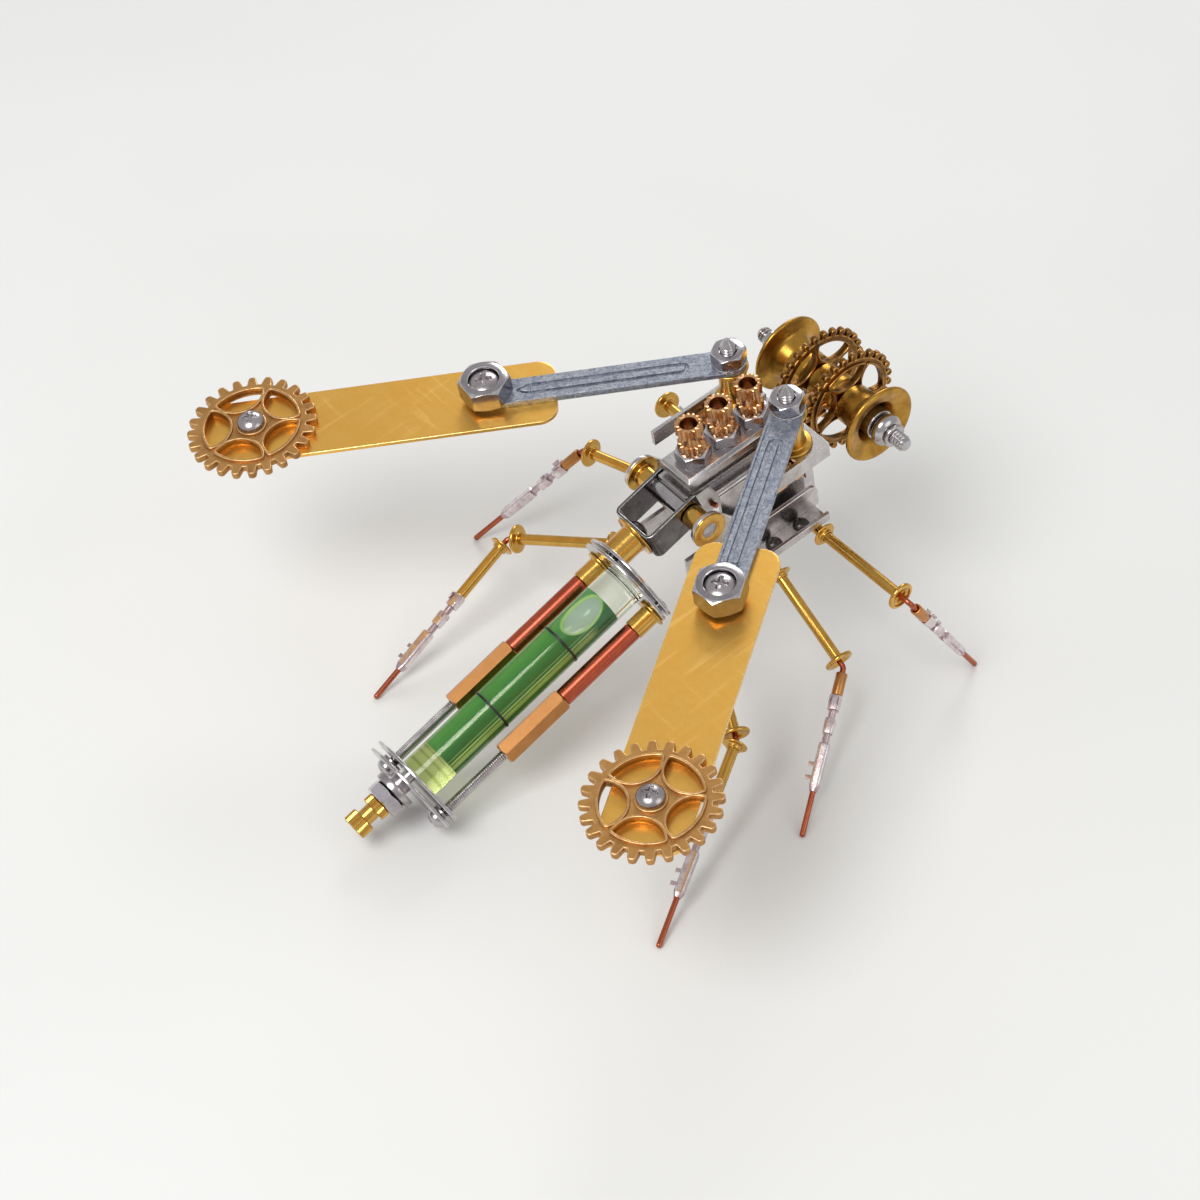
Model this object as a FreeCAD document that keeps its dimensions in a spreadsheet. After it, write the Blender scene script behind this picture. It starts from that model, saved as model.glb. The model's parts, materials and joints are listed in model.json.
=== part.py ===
import FreeCAD, Part
import math
import os
import re
from types import SimpleNamespace

from FreeCAD import Placement, Rotation, Vector

# A winged six-legged figure built from clockwork hardware.
# Millimetres, +Z up, the head towards -Y and the figure's left towards +X.

sizes = {
    # stance of the thorax above the ground
    "noserise": 8.7,
    "rideheight": 37.6,
    "fit": 0.03,
    "looseplay": 0.06,
    # clamp stack on top of the thorax
    "clampwidth": 8.0,
    "clampfront": -2.0,
    "clamprear": 19.6,
    "clampthick": 2.2,
    "clampbevel": 0.6,
    "clampfoot": 8.8,
    "ribwidth": 5.0,
    "lowerwidth": 11.0,
    "lowernarrow": 7.6,
    "lowerstep": 3.4,
    "lowerfront": -4.6,
    "lowerrear": 20.6,
    "lowerfoot": 6.6,
    "lowerthick": 1.0,
    "insertpitch": 6.5,
    "insertrear": 15.2,
    "insertradius": 2.35,
    "insertneck": 1.9,
    "insertlength": 6.3,
    "insertbore": 1.25,
    "flankinsert": 9.0,
    "flankinsertfront": 0.5,
    "flankinserthigh": 5.0,
    "knurldepth": 0.22,
    "knurlcount": 14,
    "boltradius": 1.2,
    "boltfoot": 3.4,
    "boltgrip": 2.0,
    "nutflats": 5.5,
    "nutheight": 2.4,
    # folded sheets of the thorax
    "sheet": 0.8,
    "channelhalf": 5.6,
    "channelfront": -4.6,
    "channelrear": 24.0,
    "channelfoot": -12.0,
    "channelstep": 15.4,
    "channelshelf": -4.0,
    "bendradius": 1.0,
    "edgeradius": 0.2,
    "nosegap": 0.9,
    "noseplatefoot": -3.0,
    "sidefront": -3.0,
    "sidehalf": 8.6,
    "sidetop": -3.0,
    "sidecorner": 0.6,
    "sidebend": 1.6,
    "sideneck": 2.0,
    "sideheel": 2.5,
    "siderise": 1.0,
    "sidefoot": 2.0,
    "lobe": 4.4,
    "bracketfront": -2.0,
    "bracketrear": 11.2,
    "brackethalf": 13.4,
    "bracketfoot": -8.8,
    "bracketwall": -1.2,
    "bracketlip": 2.2,
    "lipradius": 0.4,
    "shelffront": -4.6,
    "shelfrear": 2.2,
    "shelfhalf": 12.0,
    "shelfdrop": 2.4,
    "railrear": 15.4,
    "tabfoot": 2.6,
    "tabinner": 6.6,
    "domeradius": 1.5,
    "domeheight": 1.1,
    "domeshank": 0.8,
    "domefront": 2.6,
    "domeback": 8.8,
    # cross axle at the rear of the thorax
    "axleback": 20.6,
    "axlehigh": 4.4,
    "axleradius": 1.2,
    "axlehead": 2.0,
    "spacerradius": 2.0,
    "spacerhalf": 4.1,
    "bushradius": 2.1,
    "bushflange": 3.4,
    "bushrim": 0.5,
    # wing studs
    "studhalf": 7.7,
    "studradius": 1.45,
    "studtip": 22.7,
    "washerradius": 3.1,
    "washerthick": 0.5,
    "riserradius": 2.3,
    "riserflange": 3.5,
    "riserrim": 0.6,
    # wings
    "wingfoot": 16.4,
    "sweep": 55.2,
    "strutlength": 42.0,
    "strutwidth": 5.7,
    "strutthick": 1.0,
    "struttab": 3.2,
    "groovedepth": 0.35,
    "groovewidth": 0.75,
    "groovegap": 1.1,
    "groovestart": 7.0,
    "grooveend": 34.5,
    "pointgap": 0.6,
    "pointlong": 2.0,
    "pointhalf": 0.9,
    "bignutflats": 8.0,
    "bignutheight": 4.0,
    "bignutbore": 2.75,
    "pivotradius": 1.2,
    "panradius": 2.35,
    "panheight": 1.5,
    "pivothead": 2.7,
    "bladewidth": 14.5,
    "bladethick": 0.8,
    "bladeinner": 12.0,
    "bladereach": 41.0,
    "bladeouter": 8.6,
    "bladecorner": 3.4,
    "gearradius": 11.4,
    "gearroot": 9.6,
    "gearrim": 8.2,
    "gearhub": 2.9,
    "gearthick": 1.8,
    "gearspoke": 1.5,
    "gearteeth": 24,
    "gearspokes": 5,
    "gearraise": 0.35,
    # head
    "headfront": -15.5,
    "headhigh": 4.7,
    "headbolt": 19.2,
    "headboltradius": 1.45,
    "barrelhalf": 3.1,
    "barrelradius": 3.6,
    "headgearradius": 10.0,
    "headgearroot": 8.6,
    "headgearrim": 7.0,
    "headgearhub": 2.8,
    "headgearthick": 1.5,
    "headgearspoke": 1.3,
    "headteeth": 28,
    "eyeouter": 12.4,
    "eyebarrel": 3.7,
    "eyeflange": 7.4,
    "eyewall": 0.6,
    "eyeflare": 2.4,
    "endnut": 3.0,
    "endnutheight": 3.0,
    "neckhigh": 3.8,
    # waist yoke
    "droop": 14.8,
    "yokereach": 8.1,
    "yokehigh": 8.8,
    "yokelobe": 2.6,
    "yoketaper": 4.2,
    "waistlength": 5.0,
    "waistradius": 2.6,
    "waistflange": 4.1,
    "waistrim": 0.5,
    "waistscrew": 1.0,
    "waisthead": 1.9,
    # abdomen
    "abdomenside": -2.0,
    "abdomendrop": 5.0,
    "roll": 11.0,
    "earhalf": 9.9,
    "earradius": 2.5,
    "hubradius": 8.2,
    "earplate": 0.9,
    "abdomenlength": 48.5,
    "eargap": 0.5,
    "rodhalf": 6.6,
    "rodlow": 2.2,
    "rodradius": 0.95,
    "rodbush": 1.85,
    "rodbushflange": 2.7,
    "rodbushlength": 4.6,
    "rodtube": 1.65,
    "rodtubelength": 16.8,
    "rodhexflats": 3.8,
    "rodhexlength": 13.8,
    "rodhead": 1.8,
    "rodheadheight": 1.3,
    "vialradius": 3.9,
    "vialwall": 0.45,
    "frontplug": 5.0,
    "rearplug": 5.2,
    "bubblelength": 7.0,
    "bubbleradius": 1.9,
    "ringfront": 14.7,
    "ringrear": 30.9,
    "ringwidth": 0.7,
    "ringthick": 0.2,
    "tailcollar": 1.9,
    "tailcollarlength": 1.6,
    "dishradius": 3.7,
    "dishthick": 0.6,
    "tailstud": 1.2,
    "studback": 1.4,
    "tailinsert": 6.2,
    "tailbore": 1.05,
    "tailneck": 1.5,
    "tailnutflats": 6.0,
    "tailside": 0.6,
    "tailhigh": 2.6,
    # legs
    "wireradius": 0.5,
    "wirebend": 1.1,
    "legtube": 1.0,
    "eyeletflange": 2.25,
    "eyeletlength": 1.1,
    "eyeletwall": 0.3,
    "legbarrel": 4.2,
    "shintube": 11.0,
    "crimplength": 17.4,
    "crimpband": 1.4,
    "crimpbox": 2.3,
    "hiphigh": -10.4,
    "hipfront": 0.0,
    "hipmid": 9.0,
    "hiprear": 22.4,
    "hipinset": 1.0,
    "kneegap": 0.1,
    "legcollar": 5.8,
}

doc = FreeCAD.newDocument("Insect")
sheet = doc.addObject("Spreadsheet::Sheet", "Sizes")
for row, (word, value) in enumerate(sizes.items(), start=1):
    sheet.set(f"A{row}", word)
    sheet.set(f"B{row}", str(value))
    sheet.setAlias(f"B{row}", word)
doc.recompute()
s = SimpleNamespace(**{word: float(sheet.get(word)) for word in sizes})
finals = []

ALONG = {
    "x": Rotation(Vector(0, 1, 0), 90),
    "y": Rotation(Vector(1, 0, 0), -90),
    "z": Rotation(),
}
# a profile drawn in a sketch and turned so that its normal is X, or Y
SIDEWAYS = Rotation(Vector(1, 1, 1), 120)
UPRIGHT = Rotation(Vector(1, 0, 0), 90)


def bind(thing, **expressions):
    for name, words in expressions.items():
        text = re.sub(r"[a-z]+", lambda m: f"Sizes.{m[0]}" if m[0] in sizes else m[0], words)
        thing.setExpression(name, text)
    return thing


def turned(at, along="z"):
    rotation = ALONG[along] if isinstance(along, str) else along
    return Placement(Vector(*at), rotation)


def rod(name, radius, length, at=(0, 0, 0), along="z"):
    thing = doc.addObject("Part::Cylinder", name)
    thing.Placement = turned(at, along)
    return bind(thing, Radius=radius, Height=length)


def cone(name, low, high, length, at=(0, 0, 0), along="z"):
    thing = doc.addObject("Part::Cone", name)
    thing.Placement = turned(at, along)
    return bind(thing, Radius1=low, Radius2=high, Height=length)


def box(name, long, wide, high, at=(0, 0, 0), along="z"):
    thing = doc.addObject("Part::Box", name)
    thing.Placement = turned(at, along)
    return bind(thing, Length=long, Width=wide, Height=high)


def hexagon(name, flats, length, at=(0, 0, 0), along="z"):
    thing = doc.addObject("Part::Prism", name)
    thing.Polygon = 6
    thing.Placement = turned(at, along)
    return bind(thing, Circumradius=f"{flats} / 2 / cos(30 deg)", Height=length)


def dome(name, radius, height, at=(0, 0, 0), along="z"):
    """A spherical cap standing on its flat side."""
    r, h = getattr(s, radius), getattr(s, height)
    ball = (r * r + h * h) / (2 * h)
    low = math.degrees(math.asin((ball - h) / ball))
    thing = doc.addObject("Part::Sphere", name)
    whole = f"({radius} ^ 2 + {height} ^ 2) / 2 / {height}"
    bind(thing, Radius=whole)
    thing.Angle1 = low
    thing.Angle2 = 90
    rotation = ALONG[along] if isinstance(along, str) else along
    sink = rotation.multVec(Vector(0, 0, h - ball))
    thing.Placement = Placement(Vector(*at) + sink, rotation)
    return thing


def fuse(name, things):
    thing = doc.addObject("Part::MultiFuse", name)
    thing.Shapes = things
    return thing


def cut(name, base, tools):
    tool = tools[0] if len(tools) == 1 else fuse(name + "_tool", tools)
    thing = doc.addObject("Part::Cut", name)
    thing.Base = base
    thing.Tool = tool
    return thing


def rounded(points, radii):
    """Edges of a closed outline with its corners rounded."""
    edges = []
    count = len(points)
    ends = []
    for i in range(count):
        p = Vector(*points[i], 0)
        before = (Vector(*points[i - 1], 0) - p).normalize()
        after = (Vector(*points[(i + 1) % count], 0) - p).normalize()
        radius = radii[i] if isinstance(radii, (list, tuple)) else radii
        half = before.getAngle(after) / 2
        if radius <= 0:
            ends.append((p, p))
            continue
        back = radius / math.tan(half)
        middle = p + (before + after).normalize() * (radius / math.sin(half) - radius)
        start, stop = p + before * back, p + after * back
        edges.append(Part.Arc(start, middle, stop))
        ends.append((start, stop))
    for i in range(count):
        here, there = ends[i][1], ends[(i + 1) % count][0]
        if (there - here).Length > 1e-6:
            edges.append(Part.LineSegment(here, there))
    return edges


def circle(x, y, radius):
    return [Part.Circle(Vector(x, y, 0), Vector(0, 0, 1), radius)]


def slab(name, outlines, thickness, at=(0, 0, 0), along="z"):
    """A sketched outline, with its holes, raised to a thickness."""
    sketch = doc.addObject("Sketcher::SketchObject", name + "_outline")
    for edges in outlines:
        sketch.addGeometry(edges, False)
    thing = doc.addObject("Part::Extrusion", name)
    thing.Base = sketch
    thing.DirMode = "Normal"
    thing.Solid = True
    thing.Placement = turned(at, along)
    return bind(thing, LengthFwd=thickness)


def finish(name, things, frame):
    """A finished sub-part: its pieces, set in its frame."""
    for piece in things:
        piece.Label = f"{piece.Name}_piece"
    thing = things[0]
    if len(things) > 1 or thing.TypeId in ("Part::Cylinder", "Part::Extrusion", "Part::Prism", "Part::Sphere"):
        thing = doc.addObject("Part::Compound", name)
        thing.Links = things
    thing.Label = name
    finals.append((thing, frame))
    return thing


def hexnut(name, flats, bore, height, at, along="z"):
    """A hex nut with its top corners turned off."""
    body = hexagon(name + "_hex", flats, height, at, along)
    flat, high = getattr(s, flats), getattr(s, height)
    turn = doc.addObject("Part::Cone", name + "_turn")
    turn.Placement = turned(at, along)
    bind(turn, Radius1=f"{flats} / 2 + {height} * 1.6", Radius2=f"{flats} / 2", Height=height)
    shape = doc.addObject("Part::Common", name + "_blank")
    shape.Base = body
    shape.Tool = turn
    hole = rod(name + "_bore", bore, height, at, along)
    return cut(name, shape, [hole])


def star(name, radius, length, at, along, bore):
    """One knurled band."""
    outer = getattr(s, radius)
    points = []
    for i in range(int(s.knurlcount) * 2):
        angle = math.pi * i / s.knurlcount
        r = outer if i % 2 == 0 else outer - s.knurldepth * 1.6
        points.append((r * math.cos(angle), r * math.sin(angle)))
    return slab(name, [rounded(points, 0), circle(0, 0, bore)], length, at, along)


def insert(name, length, at, along, bore, neck=s.insertneck):
    """A knurled insert: two knurled bands with a plain waist between them."""
    rotation = ALONG[along]
    whole = getattr(s, length)
    step = rotation.multVec(Vector(0, 0, 1))
    base = Vector(*at)
    low = star(name + "_low", "insertradius", f"{length} * 0.3", tuple(base), along, bore)
    high = star(name + "_high", "insertradius", f"{length} * 0.38", tuple(base + step * whole * 0.62), along, bore)
    waist = slab(name + "_waist", [circle(0, 0, neck), circle(0, 0, bore)], length, tuple(base), along)
    return fuse(name, [low, waist, high])


def eyelet(name, bore, barrel, flange, rim, length, at, along):
    """A brass eyelet: a flange at its start and a plain barrel behind it."""
    disc = rod(name + "_flange", flange, rim, at, along)
    neck = rod(name + "_barrel", barrel, length, at, along)
    hole = rod(name + "_hole", bore, length, at, along)
    return cut(name, fuse(name + "_skin", [disc, neck]), [hole])


# frames
thorax = Placement(Vector(0, 0, s.rideheight), Rotation(Vector(1, 0, 0), -s.noserise))
yokeframe = thorax * Placement(Vector(0, s.axleback, s.axlehigh), Rotation(Vector(1, 0, 0), -s.droop))
waistend = s.yokereach + s.sheet + s.waistlength
abdomen = yokeframe * Placement(
    Vector(s.abdomenside, waistend, -s.abdomendrop), Rotation(Vector(0, 1, 0), -s.roll)
)
wings = {
    "left": thorax * Placement(Vector(s.studhalf, 0, 0), Rotation(Vector(0, 0, 1), s.sweep)),
    "right": thorax * Placement(Vector(-s.studhalf, 0, 0), Rotation(Vector(0, 0, 1), 180 - s.sweep)),
}
lowertop = s.lowerfoot + s.lowerthick
clamptop = s.clampfoot + s.clampthick
shelftop = lowertop + s.sheet
insertplaces = [s.insertrear - i * s.insertpitch for i in range(3)]


def clampplate():
    body = doc.addObject("PartDesign::Body", "top_clamp_plate")
    plane = next(f for f in body.Origin.OriginFeatures if f.Role == "XY_Plane")
    sketch = body.newObject("Sketcher::SketchObject", "clamp_outline")
    sketch.AttachmentSupport = [(plane, "")]
    sketch.MapMode = "FlatFace"
    bind(sketch, **{"AttachmentOffset.Base.z": "clampfoot"})
    half = s.clampwidth / 2
    corners = [(-half, s.clampfront), (half, s.clampfront), (half, s.clamprear), (-half, s.clamprear)]
    sketch.addGeometry(rounded(corners, 0), False)
    for y in insertplaces:
        sketch.addGeometry(circle(0, y, s.boltradius + s.fit), False)
    pad = body.newObject("PartDesign::Pad", "clamp_pad")
    pad.Profile = sketch
    bind(pad, Length="clampthick")
    doc.recompute()
    top = [
        f"Edge{i + 1}"
        for i, edge in enumerate(pad.Shape.Edges)
        if edge.BoundBox.ZMin > clamptop - 0.01 and isinstance(edge.Curve, Part.Line)
    ]
    bevel = body.newObject("PartDesign::Chamfer", "clamp_bevel")
    bevel.Base = (pad, top)
    bind(bevel, Size="clampbevel")
    rib = body.newObject("Sketcher::SketchObject", "clamp_rib_outline")
    rib.AttachmentSupport = [(plane, "")]
    rib.MapMode = "FlatFace"
    bind(rib, **{"AttachmentOffset.Base.z": "lowerfoot + lowerthick"})
    half = s.ribwidth / 2
    corners = [(-half, s.clampfront + 1), (half, s.clampfront + 1), (half, s.clamprear - 1), (-half, s.clamprear - 1)]
    rib.addGeometry(rounded(corners, 0), False)
    for y in insertplaces:
        rib.addGeometry(circle(0, y, s.boltradius + s.fit), False)
    step = body.newObject("PartDesign::Pad", "clamp_rib")
    step.Profile = rib
    bind(step, Length="clampfoot - lowerfoot - lowerthick")
    body.Tip = step
    finish("top_clamp_plate", [body], thorax)


def clampstack():
    half, slim = s.lowerwidth / 2, s.lowernarrow / 2
    neck = s.lowerstep + half - slim
    corners = [
        (-half, s.lowerfront), (half, s.lowerfront), (half, s.lowerstep), (slim, neck),
        (slim, s.lowerrear), (-slim, s.lowerrear), (-slim, neck), (-half, s.lowerstep),
    ]
    holes = [circle(0, y, s.boltradius + s.fit) for y in insertplaces]
    plate = slab("lower_clamp_plate", [rounded(corners, 0.3)] + holes, "lowerthick", (0, 0, s.lowerfoot))
    finish("lower_clamp_plate", [plate], thorax)
    bolts, inserts = [], []
    for i, y in enumerate(insertplaces):
        length = "clampfoot + clampthick + nutheight + boltgrip - boltfoot"
        bolts.append(rod(f"clamp_bolt_{i}", "boltradius", length, (0, y, s.boltfoot)))
        place = (0, y, clamptop + s.nutheight)
        inserts.append(insert(f"top_insert_{i}", "insertlength", place, "z", s.insertbore))
    for side in (1, -1):
        x, tip = side * s.studhalf, s.studtip - 0.8
        post = rod(f"stud_post_{side + 1}", "studradius", "studtip - 0.8 - lowerfoot - lowerthick", (x, 0, lowertop))
        point = cone(f"stud_point_{side + 1}", "studradius", "studradius * 0.6", "0.8", (x, 0, tip))
        bolts.append(fuse(f"stud_{side + 1}", [post, point]))
    finish("threaded_studs", bolts, thorax)
    for side in (1, -1):
        place = (side * s.flankinsert, s.flankinsertfront, s.flankinserthigh)
        inserts.append(insert(f"side_insert_{side + 1}", "insertlength", place, "y", s.insertbore))
    finish("knurled_inserts", inserts, thorax)
    nuts = [
        hexnut(f"clamp_nut_{i}", "nutflats", "boltradius + fit", "nutheight", (0, y, clamptop))
        for i, y in enumerate(insertplaces)
    ]
    for side in (1, -1):
        place = (side * s.studhalf, 0, s.wingfoot + s.strutthick + s.washerthick)
        nuts.append(hexnut(f"stud_nut_{side + 1}", "nutflats", "studradius + fit", "nutheight", place))
    finish("m3_nuts", nuts, thorax)


def channel():
    """The folded inner channel that carries the legs and the neck."""
    half, wall = s.channelhalf, s.sheet
    top, low = s.lowerfoot, s.channelfoot
    points = [
        (-half - wall, low), (-half - wall, top), (half + wall, top), (half + wall, low),
        (half, low), (half, top - wall), (-half, top - wall), (-half, low),
    ]
    radii = [s.edgeradius, s.bendradius, s.bendradius, s.edgeradius, 0, 0, 0, 0]
    fold = slab("channel_fold", [rounded(points, radii)], "channelrear - channelfront",
                (0, s.channelrear, 0), UPRIGHT)
    away = box("channel_away", "2 * channelhalf + 4 * sheet", "channelrear - channelstep + 1",
               "lowerfoot - channelshelf + 1", (-half - 2 * wall, s.channelstep, s.channelshelf))
    nose = box("channel_nose", "2 * channelhalf + 2 * sheet", "sheet", "lowerfoot - noseplatefoot - nosegap",
               (-half - wall, s.channelfront, s.noseplatefoot))
    holes = []
    for i, (side, place) in enumerate(hips()):
        start = thoraxpoint((side * (half - s.hipinset), place, s.hiphigh))
        way = (legs[i][1] - start).normalize()
        hole = rod(f"hip_hole_{i}", "wireradius + fit", "3 * sheet + 3",
                   tuple(inthorax(start)), Rotation(Vector(0, 0, 1), thorax.Rotation.inverted().multVec(way)))
        holes.append(hole)
    shape = cut("channel_cut", fold, [away])
    for i, place in enumerate(insertplaces):
        holes.append(rod(f"channel_bolt_hole_{i}", "boltradius + fit", "2 * sheet", (0, place, top - 1.5 * wall)))
    body = cut("inner_channel", fuse("channel_whole", [shape, nose]), holes)
    finish("inner_channel", [body], thorax)


def thoraxpoint(point):
    return thorax.multVec(Vector(*point))


def inthorax(point):
    return thorax.inverse().multVec(point)


def hips():
    rows = []
    for side in (1, -1):
        for place in (s.hipfront, s.hipmid, s.hiprear):
            rows.append((side, place))
    return rows


def sidesheets():
    plates, brackets, shelves, screws = [], [], [], []
    floor = s.bracketfoot + s.sheet
    for side in (1, -1):
        tag = "left" if side > 0 else "right"
        y, z, r = s.axleback, s.axlehigh, s.lobe
        points = [
            (s.sidefront, floor), (s.sidefront, s.sidetop), (s.bracketrear - s.siderise, s.sidetop),
            (y - r * 0.72, z + r * 0.7), (y + r * 0.72, z - r * 0.7), (s.bracketrear + s.sidefoot, floor),
        ]
        corners = [s.sidecorner, s.sidebend, s.sideneck, 0, 0, s.sideheel]
        # the sheet's low part stands on the bracket floor, its tail reaches back to the axle
        outline = slab(f"side_{tag}_arm", [rounded(points, corners)], "sheet", (0, 0, 0), SIDEWAYS)
        lobe = slab(f"side_{tag}_lobe", [circle(y, z, r)], "sheet", (0, 0, 0), SIDEWAYS)
        hole = rod(f"side_{tag}_hole", "axleradius + fit", "sheet", (0, y, z), "x")
        blank = cut(f"side_{tag}", fuse(f"side_{tag}_blank", [outline, lobe]), [hole])
        blank.Placement = Placement(Vector(side * s.sidehalf - (0 if side > 0 else s.sheet), 0, 0), Rotation())
        plates.append(blank)
        # folded channel beside the sheet
        inner, outer = s.channelhalf + s.sheet, s.brackethalf
        low, wall = s.bracketfoot, s.sheet
        fold = [
            (inner, low), (inner, s.bracketwall), (inner + wall, s.bracketwall), (inner + wall, low + wall),
            (outer - wall, low + wall), (outer - wall, low + s.bracketlip), (outer, low + s.bracketlip), (outer, low),
        ]
        if side < 0:
            fold = [(-a, b) for a, b in reversed(fold)]
            radii = [s.bendradius, s.edgeradius, s.edgeradius, 0, 0, s.edgeradius, s.edgeradius, s.lipradius]
        else:
            radii = [s.lipradius, s.edgeradius, s.edgeradius, 0, 0, s.edgeradius, s.edgeradius, s.bendradius]
        body = slab(f"bracket_{tag}_fold", [rounded(fold, radii)], "bracketrear - bracketfront",
                    (0, s.bracketrear, 0), UPRIGHT)
        middle = side * (s.brackethalf + s.sidehalf) / 2
        bores = []
        for i, place in enumerate((s.domefront, s.domeback)):
            bores.append(rod(f"bracket_{tag}_bore_{i}", "domeshank + fit", "sheet", (middle, place, low)))
            head = dome(f"dome_{tag}_{i}", "domeradius", "domeheight", (middle, place, floor))
            shank = rod(f"dome_shank_{tag}_{i}", "domeshank", "2 * sheet", (middle, place, low - wall))
            screws.append(fuse(f"dome_screw_{tag}_{i}", [head, shank]))
        brackets.append(cut(f"bracket_{tag}", body, bores))
        # shelf that carries the wing stud, with a turned-down rail along its outer edge
        inside = s.lowerwidth / 2 - 1.1
        edges = sorted((side * inside, side * s.shelfhalf))
        flat = [(edges[0], s.shelffront), (edges[1], s.shelffront), (edges[1], s.shelfrear), (edges[0], s.shelfrear)]
        hole = circle(side * s.studhalf, 0, s.studradius + s.fit)
        top = slab(f"shelf_{tag}_top", [rounded(flat, 0.5), hole], "sheet", (0, 0, lowertop))
        start = side * s.shelfhalf - (s.sheet if side > 0 else 0)
        rail = box(f"shelf_{tag}_rail", "sheet", "railrear - shelffront", "shelfdrop + sheet",
                   (start, s.shelffront, lowertop - s.shelfdrop))
        tab = box(f"shelf_{tag}_tab", "shelfhalf - sheet - tabinner", "sheet", "lowerfoot + lowerthick - tabfoot",
                  (s.tabinner if side > 0 else -s.shelfhalf + s.sheet, s.flankinsertfront - s.sheet, s.tabfoot))
        shelves.append(fuse(f"shelf_{tag}", [top, rail, tab]))
    finish("side_plates", plates, thorax)
    finish("side_brackets", brackets, thorax)
    finish("wing_shelves", shelves, thorax)
    finish("bracket_screws", screws, thorax)


def crossaxle():
    y, z = s.axleback, s.axlehigh
    reach = s.sidehalf + s.sheet
    shaft = rod("axle_shaft", "axleradius", "2 * (sidehalf + sheet)", (-reach, y, z), "x")
    left = dome("axle_head_left", "axlehead", "sheet", (reach, y, z), "x")
    right = dome("axle_head_right", "axlehead", "sheet", (-reach, y, z), Rotation(Vector(0, 1, 0), -90))
    finish("cross_axle", [fuse("cross_axle_whole", [shaft, left, right])], thorax)
    spacer = slab("axle_spacer", [circle(0, 0, s.spacerradius), circle(0, 0, s.axleradius + s.fit)],
                  "2 * spacerhalf", (-s.spacerhalf, y, z), "x")
    finish("axle_spacer", [spacer], thorax)
    bushes = []
    for side, turn in ((1, Rotation(Vector(0, 1, 0), -90)), (-1, Rotation(Vector(0, 1, 0), 90))):
        bushes.append(eyelet(f"axle_bush_{side + 1}", "axleradius + fit", "bushradius", "bushflange", "bushrim",
                             "sidehalf - spacerhalf - sheet - looseplay", (side * s.sidehalf, y, z), turn))
    finish("axle_bushes", bushes, thorax)


def studs():
    risers, washers = [], []
    for side in (1, -1):
        x = side * s.studhalf
        risers.append(eyelet(f"riser_{side + 1}", "studradius + fit", "riserradius", "riserflange", "riserrim",
                             "wingfoot - lowerfoot - lowerthick - sheet - riserrim", (x, 0, shelftop), "z"))
        crown = slab(f"riser_crown_{side + 1}", [circle(0, 0, s.riserflange - 0.3), circle(0, 0, s.studradius + s.fit)],
                     "riserrim", (x, 0, s.wingfoot - s.riserrim))
        risers[-1] = fuse(f"riser_whole_{side + 1}", [risers[-1], crown])
        washers.append(slab(f"stud_washer_{side + 1}",
                            [circle(0, 0, s.washerradius), circle(0, 0, s.studradius + s.fit)],
                            "washerthick", (x, 0, s.wingfoot + s.strutthick)))
    finish("riser_bushes", risers, thorax)
    finish("stud_washers", washers, thorax)


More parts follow.
